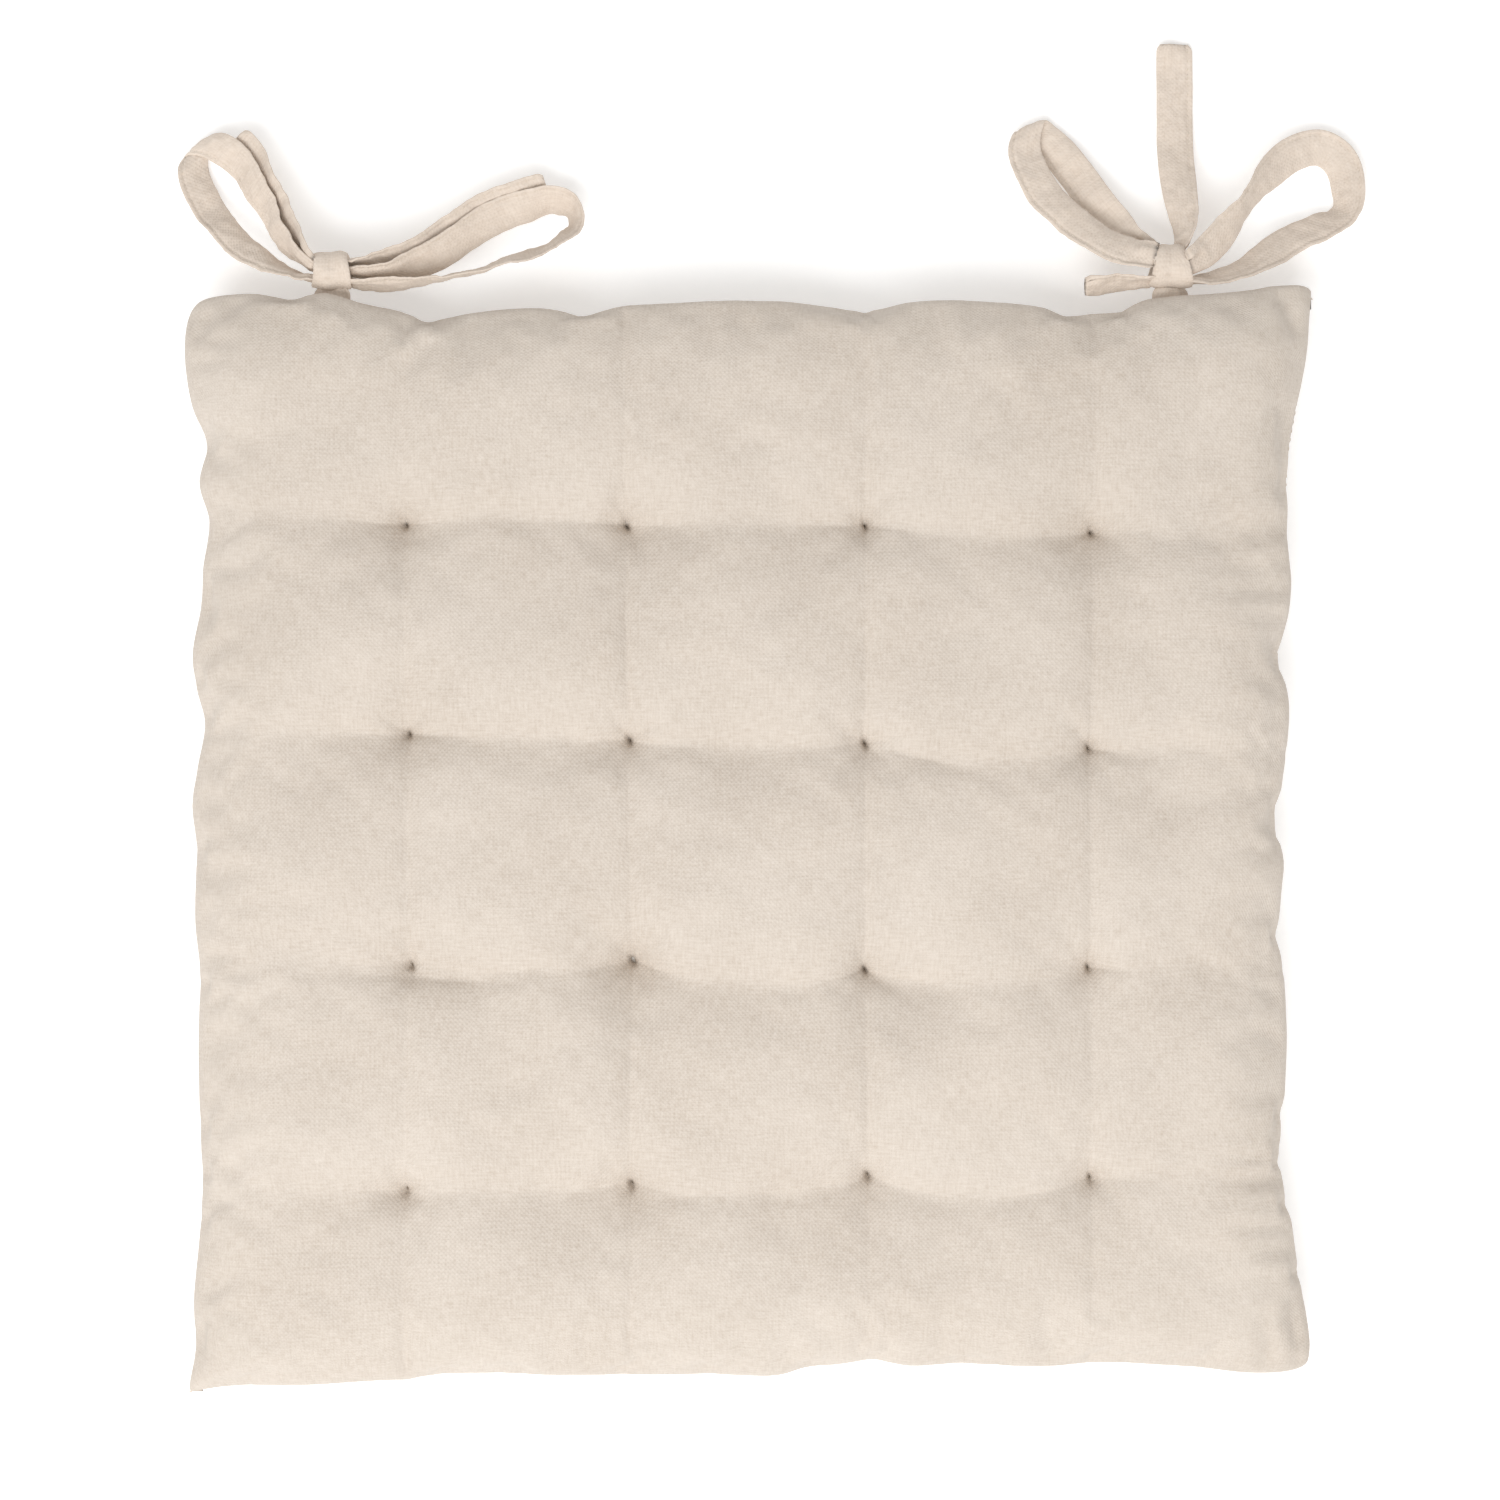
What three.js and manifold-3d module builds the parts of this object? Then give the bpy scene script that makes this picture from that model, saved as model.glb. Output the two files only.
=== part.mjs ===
// A tufted chair seat pad with a ribbon bow at each back corner.
// Millimetres, +Z up, +Y to the back of the seat. The origin lies under the middle of
// the pad, on the surface that it rests on.
import * as THREE from "three";
import { mergeVertices } from "three/addons/utils/BufferGeometryUtils.js";
import Module from "manifold-3d";

// Driving dimensions of the pad.
const HALF_WIDTH = 191.5; // from the middle to a side, half way along it
const HALF_DEPTH = 189;
const CORNER_EAR = 7.5; // how much further out the corners reach
const HEIGHT = 45;
const SEAM_Z = HEIGHT / 2;
const SEAM_GAP = 1.4; // half of the slit between the two covers, which the thread fills
const CLOTH = 1; // wall of a cover
const CLEARANCE = 0.3; // between parts that touch

// The quilted grid: four by four tufts, and so five by five cells.
const TUFT_COLUMNS = [-121, -43, 40, 119]; // left to right
const TUFT_ROWS = [-122, -45, 33, 109]; // front to back
const TUFT_DRIFT = [
  [[0, -2], [1, -1], [1, 2], [0, 2]],
  [[1, 0], [1, 1], [0, -2], [0, -1]],
  [[0, 3], [0, 1], [0, 0], [0, -2]],
  [[-1, 1], [-1, 1], [0, 1], [1, -2]],
]; // how far each hand-placed tuft is off its crossing, in the order of the rows above
const CELLS = TUFT_COLUMNS.length + 1;
const STEPS_PER_CELL = 4;
const EDGE_CROWDING = 1.8; // above 1, the mesh is finer where the covers roll over the edge
const EDGE_ROUNDNESS = 8; // power of the roll-over: higher is blunter
const TUFT_REACH = 19; // radius of the hollow round a tuft
const TUFT_PULL = 0.8; // share of the height that a tuft takes away
const GROOVE_REACH = 0.13; // half width of the crease between two tufts, in cells
const ROW_GROOVE = 0.24; // depth of the creases from left to right
const COLUMN_GROOVE = 0.12; // depth of the creases from front to back
const UNDERSIDE_FULLNESS = 1.15; // above 1, the underside's cells press flat on what they rest on

// Threads.
const HOLE_RADIUS = 1.5;
const TUFT_THREAD_RADIUS = 0.8;
const TUFT_KNOT_RADIUS = 1.6;
const SEAM_THREAD_RADIUS = 0.5;
const SEAM_THREAD_INSET = 0.6;
const FILLING_EDGE_INSET = 2;
const CLOSING_LENGTH = 120;
const CLOSING_STITCHES = 10;
const THREAD_SIDES = 6;

// Ties: folded and stitched ribbons of the cover's cloth.
const RIBBON_WIDTH = 13;
const RIBBON_THICKNESS = 1.6;
const RIBBON_STEPS = 2; // mesh steps between two stations
const KNOT_X = 148.7; // to each side of the middle
const KNOT_Y = 200;
const KNOT_RADIUS = 6;
const KNOT_LENGTH = 13;
const ROOT_Y = [178, KNOT_Y - KNOT_RADIUS - CLEARANCE]; // the sewn-in end, from inside the seam

// A station on a ribbon's route: x, y, height of the lower edge above the surface below,
// then the direction and the rise of the line across the ribbon, in degrees.
const LEFT_BOW = {
  left_bow_left_loop: [
    [-156, 198.2, 15, 90, -84],
    [-161.4, 199.2, 14.8, 84, -76],
    [-170.4, 203, 14.4, 72, -60],
    [-179.4, 208.4, 12.4, 60, -44],
    [-187.6, 216, 8.8, 50, -38],
    [-194.6, 225, 4, 38, -34],
    [-199.6, 234.4, 2, 30, -30],
    [-201, 242.4, 1.4, 32, -18],
    [-198.4, 248, 2.6, 34, 4],
    [-192.6, 247.6, 5.2, 38, 20],
    [-186, 243.4, 6, 44, 32],
    [-179.2, 235.2, 6.6, 48, 40],
    [-173.8, 225.6, 7.6, 44, 46],
    [-169.2, 216.2, 9.4, 46, 54],
    [-163, 208.2, 12, 62, 70],
    [-156, 202.4, 15, 84, 84],
  ],
  left_bow_right_loop: [
    [-141.4, 200.4, 15, 90, 84],
    [-133, 200, 14.8, 96, 70],
    [-122, 202.2, 13.6, 112, 50],
    [-111, 208, 11, 124, 38],
    [-102.4, 214.6, 8, 126, 34],
    [-93, 220.8, 6, 122, 34],
    [-82, 225.6, 4, 112, 36],
    [-72, 228, 2.4, 92, 46],
    [-64.2, 225.4, 2.4, 44, 58],
    [-63.2, 217.4, 5.4, -10, 62],
    [-69.6, 211.4, 9.6, -54, 66],
    [-80, 206.8, 12.4, -66, 72],
    [-92, 202.6, 13.4, -72, 76],
    [-105, 199.4, 12.6, -76, 84],
    [-118, 197, 13.8, -80, 98],
    [-130, 195.8, 14.8, -86, 106],
    [-141.4, 196.4, 15.2, -90, 96],
  ],
  left_bow_left_tail: [
    [-156, 205.4, 15.2, 84, 84],
    [-160.2, 210.6, 12.6, 60, 70],
    [-165.4, 218.2, 9.8, 46, 54],
    [-170, 227.2, 8, 44, 46],
    [-175.2, 236.6, 7, 46, 40],
    [-180.6, 245, 5.4, 44, 34],
    [-184.6, 249.6, 4.6, 42, 30],
  ],
  left_bow_right_tail: [
    [-141.4, 203.4, 15.2, 92, 80],
    [-133.4, 203.8, 14.2, 98, 62],
    [-123.6, 206.2, 12.6, 112, 46],
    [-113.2, 211.6, 10.2, 124, 38],
    [-104.8, 218, 8, 126, 36],
    [-95.2, 224.4, 6, 122, 36],
    [-83.8, 229.6, 4.4, 114, 38],
    [-73.4, 232.4, 3, 106, 40],
  ],
};
const RIGHT_BOW = {
  right_bow_left_loop: [
    [141.4, 205.8, 24.2, 76, -20],
    [134, 207.2, 20.8, 66, -24],
    [125, 211.6, 16.4, 54, -24],
    [115.2, 219.2, 12.4, 46, -20],
    [106.4, 228, 9, 36, -16],
    [100.6, 238, 6.6, 24, -14],
    [98.2, 247.4, 5, 22, -8],
    [100.4, 254.4, 3.4, 22, -2],
    [104, 252.4, 1.2, 24, 4],
    [110.4, 246.4, 1.2, 30, 8],
    [116.8, 238, 2.6, 34, 12],
    [123, 228.8, 5, 36, 18],
    [129.4, 220, 7, 40, 26],
    [135.8, 212.6, 9.6, 52, 36],
    [141.4, 208.4, 11.4, 64, 36],
  ],
  right_bow_right_loop: [
    [156, 203.6, 21.4, 106, 40],
    [162.4, 208.4, 18.4, 122, 30],
    [170.4, 217.4, 13.6, 136, 40],
    [178.6, 228.6, 8.8, 142, 62],
    [186, 237.4, 6.6, 126, 30],
    [194.8, 244.8, 3.8, 108, 14],
    [204.6, 247.4, 2, 80, 12],
    [212.2, 242.6, 1.2, 40, 16],
    [215, 233, 1, 6, 30],
    [213.4, 223.8, 1.2, -36, 46],
    [204.8, 218.2, 5, -64, 38],
    [194.4, 213.6, 8.4, -64, 30],
    [184.6, 207.6, 12.6, -60, 38],
    [175, 201.6, 14.9, -62, 50],
    [165.4, 198.4, 14.6, -72, 58],
    [156, 197.2, 15, -90, 84],
  ],
  right_bow_long_tail: [
    [151.2, 207.4, 14.4, 14, 52],
    [154, 213, 13.6, 4, 60],
    [154.2, 221, 11.4, 0, 44],
    [153.4, 231, 8.6, 0, 20],
    [152.8, 244, 3.6, 0, 4],
    [152.8, 258, 1, 0, 0],
    [152.8, 272, 0.8, 0, 0],
    [152.6, 285, 0.8, 0, 0],
  ],
  right_bow_short_tail: [
    [141.4, 197, 16.1, 90, 76],
    [134, 196.4, 16.1, 90, 70],
    [126, 196, 16.3, 94, 66],
    [118.4, 195.4, 16.4, 100, 62],
  ],
};

const wasm = await Module();
wasm.setup();

function makeSolid(geometry) {
  const bare = geometry.clone();
  bare.deleteAttribute("normal");
  bare.deleteAttribute("uv");
  const merged = mergeVertices(bare);
  const vertProperties = new Float32Array(merged.attributes.position.array);
  const triVerts = new Uint32Array(merged.index.array);
  return new wasm.Manifold(new wasm.Mesh({ numProp: 3, vertProperties, triVerts }));
}

function makeGeometry(solid) {
  const mesh = solid.getMesh();
  const geometry = new THREE.BufferGeometry();
  geometry.setAttribute("position", new THREE.BufferAttribute(mesh.vertProperties, 3));
  geometry.setIndex(new THREE.BufferAttribute(mesh.triVerts, 1));
  return geometry;
}

function cutAway(geometry, cutters) {
  const rest = cutters.reduce(
    (solid, cutter) => solid.subtract(makeSolid(cutter)),
    makeSolid(geometry),
  );
  return makeGeometry(rest);
}

// Moves every corner of a geometry to the place that a function gives for it.
function reshape(geometry, place) {
  const corners = geometry.attributes.position;
  const point = new THREE.Vector3();
  for (let i = 0; i < corners.count; i += 1) {
    point.fromBufferAttribute(corners, i);
    const moved = place(point);
    corners.setXYZ(i, moved.x, moved.y, moved.z);
  }
  return geometry;
}

const { lerp } = THREE.MathUtils;

// Share of the way from the middle to an edge, -1 to 1, of a step across the grid.
function shareAcross(step, lines, half) {
  const stops = [-half, ...lines, half];
  const cell = Math.min(Math.floor(step), CELLS - 1);
  let part = step - cell;
  if (cell === 0) {
    part = part ** EDGE_CROWDING;
  } else if (cell === CELLS - 1) {
    part = 1 - (1 - part) ** EDGE_CROWDING;
  }
  return lerp(stops[cell], stops[cell + 1], part) / half;
}

// Drift of a crossing: none on the border, and the hand-placed one at each tuft.
function crossingDrift(column, row, axis) {
  return TUFT_DRIFT[row - 1]?.[column - 1]?.[axis] ?? 0;
}

function driftAt(s, t, axis) {
  const column = Math.min(Math.floor(s), CELLS - 1);
  const row = Math.min(Math.floor(t), CELLS - 1);
  const front = lerp(
    crossingDrift(column, row, axis), crossingDrift(column + 1, row, axis), s - column,
  );
  const back = lerp(
    crossingDrift(column, row + 1, axis), crossingDrift(column + 1, row + 1, axis), s - column,
  );
  return lerp(front, back, t - row);
}

// The outline: nearly square, its sides pulled in between the corners.
function outlinePoint(u, v, inset) {
  const x = u * (HALF_WIDTH + CORNER_EAR * v ** 4) - inset * u ** 9;
  const y = v * (HALF_DEPTH + CORNER_EAR * u ** 4) - inset * v ** 9;
  return new THREE.Vector2(x, y);
}

// Place in plan of a grid step (s, t), each from 0 to 5, drawn in from the edge by an inset.
function planPoint(s, t, inset) {
  const u = shareAcross(s, TUFT_COLUMNS, HALF_WIDTH);
  const v = shareAcross(t, TUFT_ROWS, HALF_DEPTH);
  const point = outlinePoint(u, v, inset);
  return point.set(point.x + driftAt(s, t, 0), point.y + driftAt(s, t, 1));
}

const crossings = [1, 2, 3, 4];
const tufts = crossings.flatMap((row) =>
  crossings.map((column) => ({ row, column, place: planPoint(column, row, 0) })),
);

// How much a crease takes away at a step: 1 on a line of tufts, fading to both sides.
function grooveShare(step) {
  const line = THREE.MathUtils.clamp(Math.round(step), 1, CELLS - 1);
  return Math.exp(-(((step - line) / GROOVE_REACH) ** 2));
}

// Fullness of the quilting, 0 to 1: rolled edges, creases and the hollows of the tufts.
function fullness(s, t) {
  const u = shareAcross(s, TUFT_COLUMNS, HALF_WIDTH);
  const v = shareAcross(t, TUFT_ROWS, HALF_DEPTH);
  const roll = Math.sqrt((1 - Math.abs(u) ** EDGE_ROUNDNESS) * (1 - Math.abs(v) ** EDGE_ROUNDNESS));
  const creases = (1 - COLUMN_GROOVE * grooveShare(s)) * (1 - ROW_GROOVE * grooveShare(t));
  const here = planPoint(s, t, 0);
  const nearest = Math.min(...tufts.map((tuft) => tuft.place.distanceTo(here)));
  return roll * creases * (1 - TUFT_PULL * Math.exp(-((nearest / TUFT_REACH) ** 2)));
}

// A point of the upper (side 1) or the lower (side -1) face, drawn in by a wall.
function facePoint(s, t, side, wall, edgeInset) {
  const plan = planPoint(s, t, edgeInset);
  const swell = (SEAM_Z - SEAM_GAP) * fullness(s, t) * (side > 0 ? 1 : UNDERSIDE_FULLNESS);
  const rise = Math.min(SEAM_GAP + swell, SEAM_Z) - wall;
  return new THREE.Vector3(plan.x, plan.y, SEAM_Z + side * Math.max(rise, SEAM_GAP));
}

// A block splits the squares of its underside the other way than those of its top. This
// splits them alike, so that nested faces keep their distance all over.
function alignDiagonals(block) {
  const { start, count } = block.groups[5];
  const corners = block.index.array;
  for (let i = start; i < start + count; i += 6) {
    const [a, b, d, , c] = corners.slice(i, i + 6);
    corners.set([a, b, c, a, c, d], i);
  }
  return block;
}

// A closed quilted solid between an upper and a lower layer.
function quiltedSolid(upper, lower) {
  const steps = CELLS * STEPS_PER_CELL;
  const block = alignDiagonals(new THREE.BoxGeometry(CELLS, CELLS, 1, steps, steps, 1));
  return reshape(block, (p) => {
    const s = p.x + CELLS / 2;
    const t = p.y + CELLS / 2;
    return p.z > 0 ? upper(s, t) : lower(s, t);
  });
}

function holeCutters() {
  return tufts.map(({ place }) =>
    new THREE.CylinderGeometry(HOLE_RADIUS, HOLE_RADIUS, HEIGHT, THREAD_SIDES)
      .rotateX(Math.PI / 2)
      .translate(place.x, place.y, SEAM_Z),
  );
}

function makeTopCover() {
  const shell = quiltedSolid(
    (s, t) => facePoint(s, t, 1, 0, 0),
    (s, t) => facePoint(s, t, 1, CLOTH, CLOTH),
  );
  return cutAway(shell, holeCutters());
}

function makeBottomCover() {
  const shell = quiltedSolid(
    (s, t) => facePoint(s, t, -1, CLOTH, CLOTH),
    (s, t) => facePoint(s, t, -1, 0, 0),
  );
  return cutAway(shell, holeCutters());
}

// A strip across the seam, centred on the place where a tie is sewn in.
function seamStrip(side, margin) {
  const length = ROOT_Y[1] - ROOT_Y[0];
  return new THREE.BoxGeometry(
    RIBBON_WIDTH + 2 * margin, length + 2 * margin, RIBBON_THICKNESS + 2 * margin,
  ).translate(side * KNOT_X, ROOT_Y[0] + length / 2, SEAM_Z);
}

function makeFilling() {
  const wall = CLOTH + CLEARANCE;
  const batt = quiltedSolid(
    (s, t) => facePoint(s, t, 1, wall, FILLING_EDGE_INSET),
    (s, t) => facePoint(s, t, -1, wall, FILLING_EDGE_INSET),
  );
  const pockets = [-1, 1].map((side) => seamStrip(side, CLEARANCE));
  return cutAway(batt, [...holeCutters(), ...pockets]);
}

// A thread that runs all round inside the seam: a torus laid along the outline.
function makeSeamThread(radius) {
  const ring = new THREE.TorusGeometry(HALF_WIDTH, radius, THREAD_SIDES, 72);
  return reshape(ring, (p) => {
    const out = Math.hypot(p.x, p.y);
    const edge = out / Math.max(Math.abs(p.x), Math.abs(p.y));
    const direction = new THREE.Vector2(p.x / out, p.y / out);
    const line = outlinePoint(direction.x * edge, direction.y * edge, SEAM_THREAD_INSET);
    line.addScaledVector(direction, out - HALF_WIDTH);
    return new THREE.Vector3(line.x, line.y, SEAM_Z + p.z);
  });
}

// The thread that closes the gap through which the pad was filled: it climbs from one
// cover to the other and back along the middle of the back edge.
function makeClosingThread() {
  const points = [];
  for (let i = 0; i <= CLOSING_STITCHES * 2; i += 1) {
    const x = (i / (CLOSING_STITCHES * 2) - 0.5) * CLOSING_LENGTH;
    const edge = outlinePoint(x / HALF_WIDTH, 1, 0).y;
    const y = edge + SEAM_THREAD_RADIUS + CLEARANCE;
    points.push(new THREE.Vector3(x, y, SEAM_Z + (i % 2 ? SEAM_GAP : -SEAM_GAP)));
  }
  const section = new THREE.Shape().absarc(0, 0, SEAM_THREAD_RADIUS, 0, 2 * Math.PI);
  return new THREE.ExtrudeGeometry(section, {
    extrudePath: new THREE.CatmullRomCurve3(points),
    steps: CLOSING_STITCHES * 4,
    curveSegments: THREAD_SIDES / 2,
    bevelEnabled: false,
  });
}

// A tuft thread: a plain column through the pad with a round knot in each hollow.
function makeTuftThread() {
  const hollow = SEAM_GAP + (SEAM_Z - SEAM_GAP) * fullness(1, 1);
  const knotHeight = hollow + 1.6 * TUFT_KNOT_RADIUS;
  const knotArc = [30, 90, 150].map((degrees) => {
    const angle = THREE.MathUtils.degToRad(degrees);
    const r = TUFT_KNOT_RADIUS * Math.sin(angle);
    return new THREE.Vector2(r, knotHeight - TUFT_KNOT_RADIUS * Math.cos(angle));
  });
  knotArc[0].x = TUFT_THREAD_RADIUS;
  const upper = [...knotArc, new THREE.Vector2(0, knotHeight + TUFT_KNOT_RADIUS)];
  const lower = upper.map((p) => new THREE.Vector2(p.x, -p.y)).reverse();
  return new THREE.LatheGeometry([...lower, ...upper], THREAD_SIDES).rotateX(Math.PI / 2);
}

function makeTieRoot(side) {
  const channel = makeSeamThread(SEAM_THREAD_RADIUS + CLEARANCE);
  return cutAway(seamStrip(side, 0), [channel]);
}

// The wrap of a bow's knot: a barrel round the line that the tie swings about.
function makeKnot() {
  const half = KNOT_LENGTH / 2;
  const waist = KNOT_RADIUS * 0.85;
  const profile = [[0, -half], [waist, -half], [KNOT_RADIUS, -half * 0.55],
    [KNOT_RADIUS, half * 0.55], [waist, half], [0, half]];
  const barrel = profile.map(([r, along]) => new THREE.Vector2(r, along));
  return new THREE.LatheGeometry(barrel, 2 * THREAD_SIDES).rotateZ(Math.PI / 2);
}

// A ribbon along its stations: a thin bar whose line across turns from station to station.
function makeRibbon(stations) {
  const places = new THREE.CatmullRomCurve3(stations.map(([x, y, lift]) =>
    new THREE.Vector3(x, y, lift)));
  const turns = new THREE.CatmullRomCurve3(stations.map(([, , , heading, lean]) =>
    new THREE.Vector3(heading, lean, 0)), false, "catmullrom", 0.5);
  const halfWidth = RIBBON_WIDTH / 2;
  const halfThickness = RIBBON_THICKNESS / 2;

  function acrossAt(share) {
    const turn = turns.getPoint(share).multiplyScalar(Math.PI / 180);
    const flat = Math.cos(turn.y);
    return new THREE.Vector3(Math.cos(turn.x) * flat, Math.sin(turn.x) * flat, Math.sin(turn.y));
  }
  function centreAt(share) {
    const across = acrossAt(share);
    const centre = places.getPoint(share);
    centre.z += Math.abs(across.z) * halfWidth + Math.hypot(across.x, across.y) * halfThickness;
    return centre;
  }
  const nearby = 0.002;
  const steps = (stations.length - 1) * RIBBON_STEPS;
  return reshape(new THREE.BoxGeometry(1, 1, 1, steps, 1, 1), (p) => {
    const share = THREE.MathUtils.clamp(p.x + 0.5, 0, 1);
    const along = centreAt(Math.min(share + nearby, 1)).sub(centreAt(Math.max(share - nearby, 0)));
    const across = acrossAt(share);
    const outward = along.cross(across).normalize();
    return centreAt(share)
      .addScaledVector(across, 2 * halfWidth * p.y)
      .addScaledVector(outward, 2 * halfThickness * p.z);
  });
}

const pad = new THREE.Group();

function addPart(name, geometry, look) {
  const mesh = new THREE.Mesh(geometry, new THREE.MeshStandardMaterial({ metalness: 0, ...look }));
  mesh.name = name;
  pad.add(mesh);
  return mesh;
}

const coverLook = { color: "#e3d8ca", roughness: 0.92 };
const tieLook = { color: "#dfd1c2", roughness: 0.9 };
const threadLook = { color: "#cfc1ae", roughness: 0.75 };

addPart("top_cover", makeTopCover(), coverLook);
addPart("bottom_cover", makeBottomCover(), coverLook);
addPart("filling", makeFilling(), { color: "#f4f2ee", roughness: 1 });
addPart("edge_seam_thread", makeSeamThread(SEAM_THREAD_RADIUS), threadLook);
addPart("closing_stitch_thread", makeClosingThread(), threadLook);
for (const { row, column, place } of tufts) {
  const thread = addPart(`tuft_thread_row${row}_column${column}`, makeTuftThread(), threadLook);
  thread.position.set(place.x, place.y, SEAM_Z);
}
for (const [name, side, bow] of [["left", -1, LEFT_BOW], ["right", 1, RIGHT_BOW]]) {
  addPart(`${name}_tie_root`, makeTieRoot(side), tieLook);
  addPart(`${name}_knot`, makeKnot(), tieLook).position.set(side * KNOT_X, KNOT_Y, SEAM_Z);
  for (const [ribbonName, stations] of Object.entries(bow)) {
    addPart(ribbonName, makeRibbon(stations), tieLook);
  }
}

export default pad;
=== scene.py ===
# %% [markdown]
# # A tufted seat pad with two ribbon bows
# The real thing is two squares of plain-woven linen and cotton, sewn together round
# their edges, stuffed with loose fibre and pulled together by sixteen hand-tied
# threads. A folded ribbon of the same cloth is sewn into each back corner and tied
# into a bow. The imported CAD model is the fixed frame: every visible piece below is a
# finer surface that takes a CAD node's place and rides on its body.

import bmesh
import bpy
import numpy as np
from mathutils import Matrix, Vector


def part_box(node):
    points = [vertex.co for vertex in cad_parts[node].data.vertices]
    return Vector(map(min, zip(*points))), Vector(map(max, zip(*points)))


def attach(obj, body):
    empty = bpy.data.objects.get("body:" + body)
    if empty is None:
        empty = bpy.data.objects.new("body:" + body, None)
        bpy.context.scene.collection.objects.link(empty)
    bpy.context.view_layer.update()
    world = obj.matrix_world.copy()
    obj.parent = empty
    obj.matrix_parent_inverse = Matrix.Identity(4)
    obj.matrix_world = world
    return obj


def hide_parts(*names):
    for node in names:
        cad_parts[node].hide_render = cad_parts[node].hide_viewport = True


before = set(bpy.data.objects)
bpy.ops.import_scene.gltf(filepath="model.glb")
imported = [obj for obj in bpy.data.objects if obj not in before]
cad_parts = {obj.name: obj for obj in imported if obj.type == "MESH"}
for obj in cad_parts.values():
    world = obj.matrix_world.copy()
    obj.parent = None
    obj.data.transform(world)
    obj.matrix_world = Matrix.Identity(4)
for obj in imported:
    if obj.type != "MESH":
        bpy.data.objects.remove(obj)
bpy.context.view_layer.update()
scene = bpy.context.scene
scene.view_settings.view_transform = "Standard"
MM = 0.001

# %% [markdown]
# ## Camera
# The pad is seen straight from above, with its back edge at the top of the picture,
# and almost without perspective. A long lens high above gives that. It looks at a
# point a little behind the middle of the pad, so that the bows are in view as well.

# %% Camera
LENS = 85 * MM
SENSOR = 36 * MM
VIEW_WIDTH = 532.5 * MM  # what the picture takes in, half way up the pad
VIEW_CENTRE = (-0.4 * MM, 30.5 * MM)
SEAM_Z = 22.5 * MM  # half way up the pad, where the two covers meet

camera_data = bpy.data.cameras.new("camera")
camera_data.lens = LENS / MM
camera_data.sensor_width = SENSOR / MM
camera = bpy.data.objects.new("camera", camera_data)
camera.location = (*VIEW_CENTRE, SEAM_Z + VIEW_WIDTH * LENS / SENSOR)
scene.collection.objects.link(camera)
scene.camera = camera
print("camera height", round(camera.location.z, 3))

# %% [markdown]
# ## Surfaces from grids
# Every new piece is a grid of points worked out as whole arrays. One function turns
# such a grid into a mesh. It gives each face corner the flat cloth coordinates of its
# grid place, so the weave follows the surface, and it merges points that fall
# together, which closes tubes and ends.


# %% Grid to mesh
def quads(rows, columns):
    """Corner numbers of the faces between the points of a rows by columns grid."""
    k = np.arange((rows - 1) * columns).reshape(rows - 1, columns)[:, :-1].ravel()
    return np.stack([k, k + 1, k + columns + 1, k + columns], axis=1)


def make_piece(name, points, flat, faces, material, merge=True):
    """A mesh object from points (n, 3), their flat cloth coordinates (n, 2) and faces (m, 4)."""
    mesh = bpy.data.meshes.new(name)
    mesh.from_pydata(points.tolist(), [], faces.tolist())
    layer = mesh.uv_layers.new(name="cloth")
    layer.data.foreach_set("uv", flat[faces.ravel()].astype(np.float32).ravel())
    if merge:
        work = bmesh.new()
        work.from_mesh(mesh)
        bmesh.ops.remove_doubles(work, verts=work.verts, dist=1e-6)
        bmesh.ops.dissolve_degenerate(work, edges=work.edges, dist=1e-7)
        work.to_mesh(mesh)
        work.free()
    mesh.shade_smooth()
    mesh.materials.append(material)
    piece = bpy.data.objects.new(name, mesh)
    scene.collection.objects.link(piece)
    return piece


def unit(v):
    """The vectors v, each made one long."""
    return v / np.maximum(np.linalg.norm(v, axis=-1, keepdims=True), 1e-12)


def smooth(x):
    """0 below 0, 1 above 1, and an S between them."""
    x = np.clip(x, 0, 1)
    return x * x * (3 - 2 * x)


def waves(x, y, size, seed, count=24):
    """Soft random relief of about one unit: plane waves of about the given size, in all directions."""
    draw = np.random.default_rng(seed)
    turn = draw.uniform(0, 2 * np.pi, count)
    number = 2 * np.pi / (size * draw.uniform(0.7, 1.6, count))
    phase = draw.uniform(0, 2 * np.pi, count)
    out = np.zeros(np.broadcast(x, y).shape)
    for a, k, p in zip(turn, number, phase):
        out += np.cos(k * (x * np.cos(a) + y * np.sin(a)) + p)
    return out / np.sqrt(count / 2)


# %% [markdown]
# ## Cloth and thread
# The cover is an undyed linen and cotton cloth in plain weave: matt, with threads of
# uneven thickness both ways, a few slubs, and a faint cloudiness where the yarn
# changes. Real threads lie about 0.5 mm apart, too close together to show in the
# render, so they are drawn 0.8 mm apart. The pattern reads the flat cloth coordinates
# and not the place in space, so it rolls over the pad's edges as the cloth does.


# %% Colours and nodes
def linear(hex_colour):
    """An sRGB hex colour as the linear colour that a shader works in."""
    srgb = np.array([int(hex_colour[i : i + 2], 16) for i in (1, 3, 5)]) / 255
    low, high = srgb / 12.92, ((srgb + 0.055) / 1.055) ** 2.4
    return (*np.where(srgb <= 0.04045, low, high).tolist(), 1.0)


def add_node(tree, kind, links=(), **settings):
    """Adds a node, sets its fields or sockets by name, and links (output, socket) pairs to it."""
    node = tree.nodes.new(kind)
    for key, value in settings.items():
        if hasattr(node, key):
            setattr(node, key, value)
    for key, value in settings.items():
        if not hasattr(node, key):
            node.inputs[key.replace("_", " ")].default_value = value
    for output, socket in links:
        tree.links.new(output, node.inputs[socket])
    return node


THREAD_PITCH = 0.8 * MM  # drawn coarser than the real 0.5 mm, so that it shows
SLUB_LENGTH = 5 * MM
CLOUD_SIZE = 45 * MM


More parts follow.
